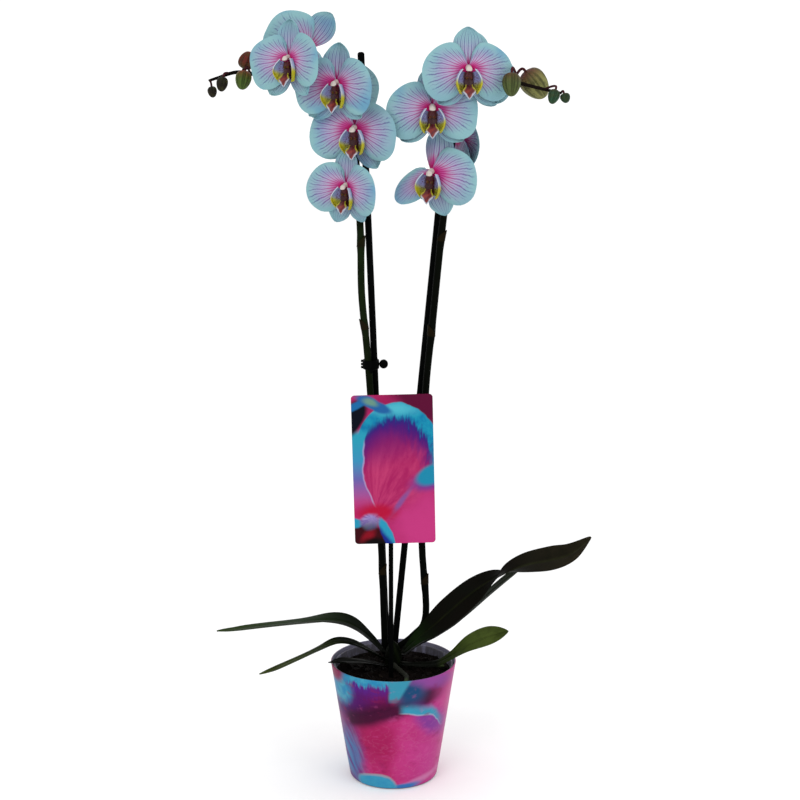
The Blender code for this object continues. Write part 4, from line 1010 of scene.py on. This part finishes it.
def spike(name, foot_direction, course, flowers, buds, colours, scale_heights, skin):
    """Stem, node scales and stalks of one flower spike."""
    foot = beside_crown(foot_direction, SPIKE_FOOT_RISE, PER_METRE * SPIKE_RADIUS)
    path = [above_bark(point) for point in smooth_path([foot, *course], 5)]
    last = len(path) - 1
    radii = [SPIKE_RADIUS + (SPIKE_TIP_RADIUS - SPIKE_RADIUS) * max(0.0, i / last - 0.5) * 2
             for i in range(last + 1)]
    scales = [min(range(last), key=lambda k: abs(path[k].z - above_bark((0, 0, height)).z))
              for height in scale_heights]
    for i in scales:
        radii[i] *= 1.14
    shape = Shape()
    stops = colour_stops(colours)
    shape.tube(path, radii, 16, lambda share: colour_along(stops, share), 1.0)
    for number, i in enumerate(scales):
        axis = (path[i + 1] - path[i]).normalized()
        toward = Vector((-1 if number % 2 else 1, -0.45, 0.0))
        tint = blend(colour_along(stops, i / last), rgb("2A2010"), 0.6)
        bract(shape, path[i], axis, toward, radii[i] / 1.1, 0.011, tint)
    stalk_stops = ((0.0, colour_along(stops, 0.9)), *colour_stops(((0.6, "2E3020"), (1.0, "6E7C58"))))
    for spec in flowers:
        place = above_bark(spec[0])
        facing = flower_frame(place, *spec[1:4], 1.0).to_3x3() @ Vector((0, 0, 1))
        target = place - Vector((0, 0, PEDICEL_DROP))
        start = min(path, key=lambda point: (point - target).length)
        bend = math.radians(max(0, spec[5], spec[6]))
        end = place - facing * (0.0022 * spec[4] + 0.002 * math.sin(bend))
        stalk = stalk_path(start, end, facing)
        shape.tube(stalk, [PEDICEL_RADIUS] * len(stalk), 10,
                   lambda share: colour_along(stalk_stops, share))
    arch = colour_stops(((0.0, "1C140E"), (0.5, "4A2028"), (1.0, "5A2A30")))
    for leave_x, base, tip, width, *_ in buds:
        base, tip = above_bark(base), above_bark(tip)
        axis = (tip - base).normalized()
        start = min(path[last // 2:], key=lambda point: abs(point.x - leave_x / PER_METRE))
        stalk = stalk_path(start, base + axis * 0.0004, axis)
        radius = PEDICEL_RADIUS * min(1.0, 0.62 + 0.018 * width)
        shape.tube(stalk, [radius] * len(stalk), 10, lambda share: colour_along(arch, share))
    piece(shape.made(f"{name}_stem_and_stalks", skin), "stem", name)


def bud(name, base, tip, width, near, far, skin):
    """A closed bud: three sepals folded shut, with a seam between each two."""
    base, axis = above_bark(base), above_bark(tip) - above_bark(base)
    length = axis.length
    axis.normalize()
    across = axis.orthogonal().normalized()
    beside = axis.cross(across)
    near, far = rgb(near), rgb(far)
    dark = blend(far, rgb("141A08"), 0.85)

    def at(s, angle):
        turn = math.pi * s
        swell = math.sin(turn) ** 0.85 * (1.0 + 0.20 * math.cos(turn)) * width / PER_METRE / 2
        seam = abs(math.cos(1.5 * angle))
        crease = 1 - 0.10 * math.exp(-(seam / 0.16) ** 2) * math.sin(turn)
        ridge = 1 + 0.018 * math.cos(9 * angle)
        where = base + axis * length * (0.5 - 0.5 * math.cos(turn))
        where += ((across * math.cos(angle) + beside * math.sin(angle))
                  * (max(swell, 0.00005) * crease * ridge))
        stripe = smooth(math.cos(9 * angle + 0.8 * s), 0.1, 0.9) * math.sin(turn)
        tint = blend(near, far, smooth(s, 0.05, 0.55))
        tint = blend(tint, dark, stripe * 0.75)
        tint = blend(tint, dark, 0.8 * math.exp(-(seam / 0.14) ** 2))
        return where, (s, angle / TURN, 0.0), tint

    shape = Shape()
    shape.skin(22, 54, at)
    piece(shape.made(f"{name}_folded", skin, 60), "bud", name)


# Colours of each leaf, by the share of its length. The near black at each leaf's foot, and over the
# whole of the leaf at the rim, is painted shade of the crown and the pot.
LEAF_COLOURS = {
    "leaf_left_long": ((0.0, "030502"), (0.35, "0A1405"), (0.6, "1C3010"), (1.0, "40502C")),
    "leaf_left_low": ((0.0, "030502"), (0.4, "0A1006"), (0.6, "26340F"), (1.0, "46521E")),
    "leaf_rim": ((0.0, "020301"), (0.6, "040603"), (1.0, "070A05")),
    "leaf_right_twisted": ((0.0, "030502"), (0.10, "122408"), (0.22, "0A0804"), (0.6, "0C0804"),
                           (0.72, "1C1A12"), (1.0, "302A1C")),
    "leaf_right_rear": ((0.0, "030502"), (0.5, "0E1E0A"), (1.0, "141C0C")),
    "leaf_right_small": ((0.0, "020301"), (0.38, "050803"), (0.52, "303E14"), (0.8, "4E5C28"),
                         (1.0, "44521E")),
}
LEAF_TIP_START = 0.8            # past this share of its length a leaf keeps a least half width
LEAF_TIP_HALF = 0.0034
LEAF_TIP_ROUND = 0.1            # the share of its length over which its tip is rounded
LEAF_EDGE_HALF = 0.0004
LEAF_GROOVE = 0.0007            # how deep its midrib's crease is
LEAF_WAVE = 0.0010


def leaf(name, direction, rise, foot_half, foot_roll, course, skin):
    """A strap leaf with a creased midrib, thick along the middle and thin at its edges."""
    start = [(*beside_crown(direction, rise, away), foot_half, foot_roll) for away in (0, 3)]
    path = [start[0], *smooth_path([start[1], *course], 7)]
    last = len(path) - 1
    stops = colour_stops(LEAF_COLOURS[name])
    phase = len(name)
    sections = []
    for i, (x, y, z, half, roll) in enumerate(path):
        along = Vector(path[min(i + 1, last)][:3]) - Vector(path[max(i - 1, 0)][:3])
        along.normalize()
        face = Vector((0, 0, 1)) - along * along.z
        face = Matrix.Rotation(math.radians(roll), 3, along) @ face.normalized()
        end = max(0.0, (i / last - 1 + LEAF_TIP_ROUND) / LEAF_TIP_ROUND)
        tip = math.sqrt(max(0.0, 1 - end * end))
        least = LEAF_TIP_HALF * tip if i / last > LEAF_TIP_START else 0.0
        half = max(max(half / PER_METRE, least) * tip, LEAF_EDGE_HALF)
        sections.append((above_bark((x, y, z)), face, face.cross(along), half))

    def at(s, t):
        here, face, side, half = sections[round(s * last)]
        t = 2 * t - 1
        groove = LEAF_GROOVE * math.exp(-(t / 0.09) ** 2) * min(1, half / 0.006)
        wave = LEAF_WAVE * math.sin(11 * s + 2.5 * t + phase) * t * t * smooth(s, 0.1, 0.5)
        where = here + side * t * half + face * (LEAF_FOLD * half * abs(t) ** 1.25 - groove + wave)
        tint = blend(colour_along(stops, s), rgb("4C562A"), 0.16 * math.exp(-(t / 0.06) ** 2))
        return where, (s, t, 1.0), tint

    def thickness(s, t):
        t = 2 * t - 1
        return LEAF_THICKNESS * (1 - 0.72 * t * t) * min(1.0, 0.35 + 4 * (1 - s))

    shape = Shape()
    shape.sheet(last, 16, at, thickness)
    piece(shape.made(f"{name}_blade", skin, 55), "leaf", name)


CROWN_SIDES = ((0, 0.94), (0.5, 0.98), (0.75, 0.90), (0.9, 0.62), (1.0, 0.12))
CROWN_DEPTH = 0.012             # how far the crown reaches into the bark


def crown(skin):
    """The short stem, wrapped in the folded bases of its leaves."""

    def at(s, angle):
        pleat = 0.5 + 0.5 * math.cos(6 * angle + 9 * s)
        out = CROWN_RADIUS * curve_value(CROWN_SIDES, s) * (0.90 + 0.10 * pleat)
        height = BARK_LEVEL - CROWN_DEPTH + (CROWN_RISE + CROWN_DEPTH) * s
        where = (out * math.cos(angle), CROWN_Y + out * math.sin(angle), height)
        # Near black, and darker in the folds than on the pleats: painted shade among the leaf bases.
        return Vector(where), (s, angle / TURN, 0.0), blend(rgb("050803"), rgb("141C0A"), pleat * 0.7)

    shape = Shape()
    shape.skin(22, 40, at)
    piece(shape.made("plant_crown_sheaths", skin), "stem", "plant_crown")


def root(name, direction, rise, course, skin):
    """An aerial root that leaves the crown and lies on the bark, knuckled and thinner at its end."""
    edge = PER_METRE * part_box("potting_bark")[1].x
    course = [(edge * x, edge * y, PER_METRE * ROOT_RADIUS + 1.5) for x, y in course]
    path = smooth_path([beside_crown(direction, rise, 3), *course], 7)
    path = [above_bark(point) for point in [beside_crown(direction, rise, 0), *path]]
    last = len(path) - 1
    radii = []
    for i in range(last + 1):
        knuckle = 1 + 0.06 * math.sin(i * 0.9) + 0.04 * math.sin(i * 2.3 + 1)
        radii.append(ROOT_RADIUS * knuckle * (1 - 0.45 * smooth(i / last, 0.75, 1.0)))
    shape = Shape()
    shape.tube(path, radii, 16, lambda share: WHITE)
    piece(shape.made(f"{name}_velvet", skin), "root", name)

# ---------------------------------------------------------------- pot, bark and supports

ROUND_STEPS = 144               # steps round the two pots


def cover_pot(skin):
    """The printed cover pot, with a rounded foot and rim and a shallow ring under its floor."""
    edge = arc((POT_BASE_RADIUS - 0.003, 0.003), 0.003, -90, -8, 8)
    rim = arc((POT_RIM_RADIUS - POT_WALL / 2, POT_HEIGHT - POT_WALL / 2), POT_WALL / 2, 0, 180, 8)
    wall = [(POT_BASE_RADIUS + POT_SLOPE * z, z) for z in (0.02, 0.04, 0.06, 0.08, 0.10)]
    inner = [(POT_BASE_RADIUS + POT_SLOPE * z - POT_WALL, z) for z in (0.09, 0.05, 0.002)]
    profile = [(0.0, 0.0006), (0.036, 0.0006), (0.0375, 0.0), *edge, *wall, *rim, *inner, (0.0, 0.002)]
    shape = Shape()
    turned(shape, profile, ROUND_STEPS)
    piece(shape.made("outer_pot_printed_wall", skin, 50), "printed_sleeve", "outer_pot")


def growing_pot(skin):
    """The clear grey growing pot: a ribbed wall, a rolled edge and a plain floor."""
    low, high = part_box("growing_pot")
    top, floor, outer = high.z, low.z, high.x
    lip_radius, wall, lip_drop = 0.0009, 0.0010, 0.010
    foot = outer - POT_SLOPE * (top - floor)
    lip = arc((outer - lip_radius, top - lip_radius), lip_radius, 0, 180, 6)
    profile = [(0.0, floor), (foot, floor), (outer - POT_SLOPE * 0.004, top - 0.004), *lip,
               (outer - wall - POT_SLOPE * lip_drop, top - lip_drop), (foot - wall, floor + wall),
               (0.0, floor + wall)]
    shape = Shape()
    turned(shape, profile, ROUND_STEPS, lambda angle: -0.00012 * (1 + math.cos(36 * angle)))
    piece(shape.made("growing_pot_ribbed_wall", skin, 50), "growing_pot_plastic", "growing_pot")


BARK_EDGE_GAP = 0.0065          # how far the chips' middles stay from the bark's edge


def bark_chips(skin):
    """Bark chips strewn over the bark's surface by a geometry tree, then made a plain mesh."""
    disc = bpy.data.meshes.new("bark_bed")
    build = bmesh.new()
    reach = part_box("potting_bark")[1].x - BARK_EDGE_GAP
    bmesh.ops.create_circle(build, cap_ends=True, segments=48, radius=reach)
    bmesh.ops.translate(build, vec=(0, 0, BARK_LEVEL + 0.0002), verts=build.verts)
    build.to_mesh(disc)
    build.free()
    bed = bpy.data.objects.new("bark_bed", disc)
    bpy.context.scene.collection.objects.link(bed)

    tree = bpy.data.node_groups.new("strewn_bark", "GeometryNodeTree")
    tree.interface.new_socket("Bed", in_out="INPUT", socket_type="NodeSocketGeometry")
    inputs = []
    for label, value in (("Chips per square metre", 42000.0), ("Chip length", 0.0098),
                         ("Chip width", 0.0060), ("Chip thickness", 0.0028), ("Roughness", 0.0016)):
        socket = tree.interface.new_socket(label, in_out="INPUT", socket_type="NodeSocketFloat")
        inputs.append((socket.identifier, value))
    tree.interface.new_socket("Chips", in_out="OUTPUT", socket_type="NodeSocketGeometry")

    def node(kind, settings=None, sockets=None):
        made = tree.nodes.new(kind)
        for key, value in (settings or {}).items():
            setattr(made, key, value)
        for key, value in (sockets or {}).items():
            if isinstance(value, bpy.types.NodeSocket):
                tree.links.new(value, made.inputs[key])
            else:
                made.inputs[key].default_value = value
        return made

    given = node("NodeGroupInput").outputs
    scatter = node("GeometryNodeDistributePointsOnFaces", None,
                   {"Mesh": given["Bed"], "Density": given["Chips per square metre"], "Seed": 7})
    size = node("ShaderNodeCombineXYZ", None,
                {0: given["Chip length"], 1: given["Chip width"], 2: given["Chip thickness"]})
    chip = node("GeometryNodeMeshCube", None,
                {"Size": size.outputs[0], "Vertices X": 4, "Vertices Y": 3, "Vertices Z": 2})
    turn = node("FunctionNodeRandomValue", {"data_type": "FLOAT_VECTOR"},
                {"Min": (-0.75, -0.55, 0.0), "Max": (0.75, 0.55, TURN), "Seed": 3})
    scale = node("FunctionNodeRandomValue", {"data_type": "FLOAT_VECTOR"},
                 {"Min": (0.45, 0.55, 0.7), "Max": (1.25, 1.15, 1.3), "Seed": 5})
    strewn = node("GeometryNodeInstanceOnPoints", None,
                  {"Points": scatter.outputs["Points"], "Instance": chip.outputs["Mesh"],
                   "Rotation": turn.outputs[0], "Scale": scale.outputs[0]})
    real = node("GeometryNodeRealizeInstances", None, {"Geometry": strewn.outputs[0]})
    grain = node("ShaderNodeTexNoise", None, {"Scale": 260.0, "Detail": 2.0})
    middle = node("ShaderNodeVectorMath", {"operation": "SUBTRACT"},
                  {0: grain.outputs["Color"], 1: (0.5, 0.5, 0.5)})
    push = node("ShaderNodeVectorMath", {"operation": "SCALE"},
                {0: middle.outputs[0], "Scale": given["Roughness"]})
    broken = node("GeometryNodeSetPosition", None,
                  {"Geometry": real.outputs[0], "Offset": push.outputs[0]})
    finished = node("GeometryNodeSetMaterial", None, {"Geometry": broken.outputs[0], "Material": skin})
    node("NodeGroupOutput", None, {0: finished.outputs[0]})

    strew = bed.modifiers.new("strew", "NODES")
    strew.node_group = tree
    for identifier, value in inputs:
        strew[identifier] = value
    graph = bpy.context.evaluated_depsgraph_get()
    mesh = bpy.data.meshes.new_from_object(bed.evaluated_get(graph))
    bpy.data.objects.remove(bed, do_unlink=True)
    chips = solid_object("potting_bark_chips", mesh, skin, 35)
    piece(chips, "bark")


STAKE_DEPTH = 84.0              # how far a stake reaches below the bark's top, in millimetres
STAKE_SECTIONS = 33


def stake(name, spec, skin):
    """A plain round stake with a softened top and faint rings."""
    foot_x, foot_y, lean_x, lean_y, rise = spec
    path = []
    for i in range(STAKE_SECTIONS):
        height = -STAKE_DEPTH + (rise + STAKE_DEPTH - 0.5) * i / (STAKE_SECTIONS - 1)
        path.append(above_bark((foot_x + lean_x * height, foot_y + lean_y * height, height)))
    radii = [STAKE_RADIUS * (1 - 0.015 * (i % 2)) for i in range(STAKE_SECTIONS)]
    shape = Shape()
    shape.tube(path, radii, 20, lambda share: WHITE)
    piece(shape.made(f"{name}_rod", skin, 50), "dark_plastic", name)


def block(shape, low, high, chamfer=0.0003):
    """A box with chamfered edges, as stacked outlines and two caps."""
    rings = []
    for z, inset in ((low[2], chamfer), (low[2] + chamfer, 0.0), (high[2] - chamfer, 0.0),
                     (high[2], chamfer)):
        x0, x1 = low[0] + inset, high[0] - inset
        y0, y1 = low[1] + inset, high[1] - inset
        corners = ((x0 + chamfer, y0), (x1 - chamfer, y0), (x1, y0 + chamfer), (x1, y1 - chamfer),
                   (x1 - chamfer, y1), (x0 + chamfer, y1), (x0, y1 - chamfer), (x0, y0 + chamfer))
        rings.append([((x, y, z),) for x, y in corners])
    shape.rings(rings)


CLIP_HALF_HEIGHT = 0.0045
CLIP_WALL = 0.0016
CLIP_SQUARENESS = 0.72          # 1 makes the band an oval, and less makes it squarer
CLIP_STEPS = 64
# Across the band's wall: share of the wall outwards, and height over the half height.
CLIP_SECTION = ((0.0, -1.0), (0.35, -1.0), (1.0, -0.82), (1.0, 0.82), (0.35, 1.0), (0.0, 1.0),
                (0.0, 0.3), (0.0, -0.3))
TOOTH_PITCH = 0.0031
KNOB_RADIUS = 0.0043
KNOB_STEPS = 60
KNOB_PROFILE = ((-0.0024, 0.55), (-0.0024, 0.80), (-0.0018, 1.0), (0.0018, 1.0), (0.0024, 0.80),
                (0.0024, 0.55))


def stem_clip(skin):
    """The clip that holds the left spike to its stake: a sprung band, a toothed grip and a knob."""
    low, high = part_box("stem_clip")
    shape = Shape()
    middle = (low.z + high.z) / 2
    band_end = high.x - 2 * KNOB_RADIUS
    centre = Vector(((low.x + band_end) / 2, (low.y + high.y) / 2, middle))
    half = Vector(((band_end - low.x) / 2, (high.y - low.y) / 2, CLIP_HALF_HEIGHT))
    rows = []
    for k in range(CLIP_STEPS):
        angle = TURN * k / CLIP_STEPS
        c, s = math.cos(angle), math.sin(angle)
        side = centre + Vector((half.x * math.copysign(abs(c) ** CLIP_SQUARENESS, c),
                                half.y * math.copysign(abs(s) ** CLIP_SQUARENESS, s), 0))
        out = Vector((c / half.x, s / half.y, 0.0)).normalized() * CLIP_WALL
        rows.append([shape.point(side + out * (share - 1) + Vector((0, 0, half.z * level)))
                     for share, level in CLIP_SECTION])
    shape.quads([*rows, rows[0]], wrap=True)
    y = centre.y
    for z in (middle - TOOTH_PITCH, middle, middle + TOOTH_PITCH):
        block(shape, (low.x - 0.0016, y - 0.0022, z - 0.0009), (low.x + 0.0012, y + 0.0022, z + 0.0009))
    block(shape, (band_end - 0.001, y - 0.0016, middle - 0.0012),
          (band_end + 0.003, y + 0.0016, middle + 0.0012))
    # The knob is a milled disc that faces the front.
    hub = Vector((high.x - KNOB_RADIUS, y, middle))
    rings = []
    for depth, size in KNOB_PROFILE:
        ring = []
        for k in range(KNOB_STEPS):
            angle = TURN * k / KNOB_STEPS
            mill = KNOB_RADIUS * size * (1 - 0.05 * (k % 3 == 0) * (size > 0.9))
            ring.append((hub + Vector((mill * math.cos(angle), depth, mill * math.sin(angle))),))
        rings.append(ring)
    shape.rings(rings)
    block(shape, (centre.x - 0.001, low.y - 0.0012, middle - 0.0075),
          (centre.x + 0.0024, low.y + 0.0010, middle - 0.0030))
    piece(shape.made("stem_clip_sprung", skin, 30), "dark_plastic", "stem_clip")


# The stick's outline over its half width and half depth, and its width by the share of its height.
STICK_OUTLINE = ((-1, -0.6), (-0.8, -1), (-0.35, -1), (-0.22, -0.45), (0.22, -0.45), (0.35, -1),
                 (0.8, -1), (1, -0.6), (1, 0.6), (0.8, 1), (-0.8, 1), (-1, 0.6))
STICK_WIDTHS = ((0.0, 0.25), (0.03, 0.7), (0.06, 1.0), (0.5, 1.0), (0.96, 1.0), (0.99, 0.92),
                (1.0, 0.7))


def label_stick(skin):
    """The flat stick that carries the card, with a groove down its front and a wedge at its foot."""
    low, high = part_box("label_stick")
    centre, half = (low + high) / 2, (high - low) / 2
    rings = [[((centre.x + half.x * size * x, centre.y + half.y * y, low.z + (high.z - low.z) * share),)
              for x, y in STICK_OUTLINE] for share, size in STICK_WIDTHS]
    shape = Shape()
    shape.rings(rings)
    piece(shape.made("label_stick_grooved", skin, 30), "dark_plastic", "label_stick")


CARD_WIDTH = 0.0780
CARD_HEIGHT = 0.1470
CARD_THICKNESS = 0.0008
CARD_CORNER = 0.0035
CARD_TILT = -1.4
# Depth over half the thickness, and how far the outline lies in from the card's edge.
CARD_BEVEL = ((-1.0, 0.0030), (-1.0, 0.00015), (-0.6, 0.0), (0.6, 0.0), (1.0, 0.00015), (1.0, 0.0030))


def label_card(skin):
    """The card: rounded corners and a fine bevel, a little out of upright."""
    low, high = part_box("label_card")
    centre = (low + high) / 2
    tilt = Matrix.Rotation(math.radians(CARD_TILT), 3, "Y")
    x, y = CARD_WIDTH / 2 - CARD_CORNER, CARD_HEIGHT / 2 - CARD_CORNER
    outline = []
    for i, corner in enumerate(((x, y), (-x, y), (-x, -y), (x, -y))):
        outline += arc(corner, CARD_CORNER, 90 * i, 90 * i + 90, 8)
    rings = []
    for depth, inset in CARD_BEVEL:
        wide, tall = 1 - inset / (CARD_WIDTH / 2), 1 - inset / (CARD_HEIGHT / 2)
        depth *= CARD_THICKNESS / 2
        rings.append([(centre + tilt @ Vector((across * wide, depth, up * tall)),)
                      for across, up in outline])
    shape = Shape()
    shape.rings(rings)
    piece(shape.made("label_card_print", skin, 30), "printed_card", "label_card")

# ---------------------------------------------------------------- the whole plant

# Colours of each spike, by the share of its length, and the heights of its node scales.
LEFT_STEM_COLOURS = ((0.0, "040604"), (0.30, "070906"), (0.42, "15200C"), (0.60, "1A2610"),
                     (0.75, "0E120A"), (1.0, "14100D"))
RIGHT_STEM_COLOURS = ((0.0, "040604"), (0.40, "060905"), (0.62, "080C06"), (0.80, "120F0B"),
                      (1.0, "1E1512"))
LEFT_SCALES = (98, 180, 262, 345, 425)
RIGHT_SCALES = (85, 165, 255, 340, 430)


def make_orchid():
    draw = random.Random(11)
    finishes = {
        "petal": tepal_finish("petal skin", 15, 0.90, 0.84, 0.0),
        "sepal": tepal_finish("sepal skin", 8, 0.60, 0.92, 0.55),
        "lip": lip_finish(),
    }
    stem_skin = grown_finish("stem skin", 0.60, 0.02, 30, 0.0003, "040503")
    leaf_skin = grown_finish("leaf skin", 0.55, 0.03, 34, 0.0002, "080C05", 34)
    bud_skin = grown_finish("bud skin", 0.50, 0.10, 26, 0.0002, "4A4A26", 220)
    root_skin = root_finish()
    dark = plastic_finish("dark plastic", "010202", "060706", 0.55, 0.02)
    # The growing pot's clear grey is darkened with painted shade of the pot's inside.
    clear = plastic_finish("growing pot plastic", "5E5C66", "8E8CA6", 0.36, 0.15)
    bark = bark_finish("bark skin", 0.35)

    cover_pot(sleeve_finish())
    growing_pot(clear)
    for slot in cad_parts["potting_bark"].material_slots:
        slot.material = bark
    bark_chips(bark_finish("bark chip skin", 0.55))
    crown(stem_skin)
    for name, spec in ROOTS.items():
        root(name, *spec, root_skin)
    for name, spec in LEAVES.items():
        leaf(name, *spec, leaf_skin)
    spike("left_spike", LEFT_SPIKE_FOOT, LEFT_SPIKE_COURSE, LEFT_FLOWERS, LEFT_BUDS,
          LEFT_STEM_COLOURS, LEFT_SCALES, stem_skin)
    spike("right_spike", RIGHT_SPIKE_FOOT, RIGHT_SPIKE_COURSE, RIGHT_FLOWERS, RIGHT_BUDS,
          RIGHT_STEM_COLOURS, RIGHT_SCALES, stem_skin)
    stake("left_stake", LEFT_STAKE, dark)
    stake("right_stake", RIGHT_STAKE, dark)
    stem_clip(dark)
    label_stick(dark)
    label_card(card_finish())
    for side, flowers, buds in (("left", LEFT_FLOWERS, LEFT_BUDS),
                                ("right", RIGHT_FLOWERS, RIGHT_BUDS)):
        for number, spec in enumerate(flowers, 1):
            flower(f"{side}_flower_{number}", spec, finishes, draw)
        for number, (_, *spec) in enumerate(buds, 1):
            bud(f"{side}_bud_{number}", *spec, bud_skin)


FLOOR_REACH = 8.0
LIGHTS = {
    # Place, target, size and power.
    "front light": ((-0.9, -2.2, 1.9), (0.0, 0.0, 0.4), 1.6, 16.0),
    "side light": ((1.5, -1.3, 1.2), (0.0, 0.0, 0.5), 1.2, 6.0),
}
SKY_STRENGTH = 1.1
CAMERA_PLACE = (0.0066, -1.65, 0.73)
CAMERA_PITCH = 78.2
CAMERA_LENS = 78.2
CAMERA_SENSOR = 36.0


def placed(name, data):
    item = bpy.data.objects.new(name, data)
    bpy.context.scene.collection.objects.link(item)
    return item


def area_light(name, place, target, size, power):
    data = bpy.data.lights.new(name, "AREA")
    data.shape = "DISK"
    data.size = size
    data.energy = power
    light = placed(name, data)
    light.location = place
    light.rotation_euler = (Vector(target) - Vector(place)).to_track_quat("-Z", "Y").to_euler()


def make_studio():
    mesh = bpy.data.meshes.new("studio_floor")
    corners = [(x * FLOOR_REACH, y * FLOOR_REACH, 0) for x, y in ((-1, -1), (1, -1), (1, 1), (-1, 1))]
    mesh.from_pydata(corners, [], [(0, 1, 2, 3)])
    mesh.materials.append(floor_finish())
    placed("studio_floor", mesh)

    world = bpy.data.worlds.new("studio")
    world.use_nodes = True
    ground = world.node_tree.nodes["Background"]
    ground.inputs["Color"].default_value = (1.0, 1.0, 1.0, 1.0)
    ground.inputs["Strength"].default_value = SKY_STRENGTH
    bpy.context.scene.world = world
    for name, spec in LIGHTS.items():
        area_light(name, *spec)
    bpy.context.scene.view_settings.view_transform = "Standard"

    data = bpy.data.cameras.new("camera")
    data.lens = CAMERA_LENS
    data.sensor_width = CAMERA_SENSOR
    camera = placed("camera", data)
    camera.location = CAMERA_PLACE
    camera.rotation_euler = (math.radians(CAMERA_PITCH), 0.0, 0.0)
    bpy.context.scene.camera = camera


make_orchid()
make_studio()
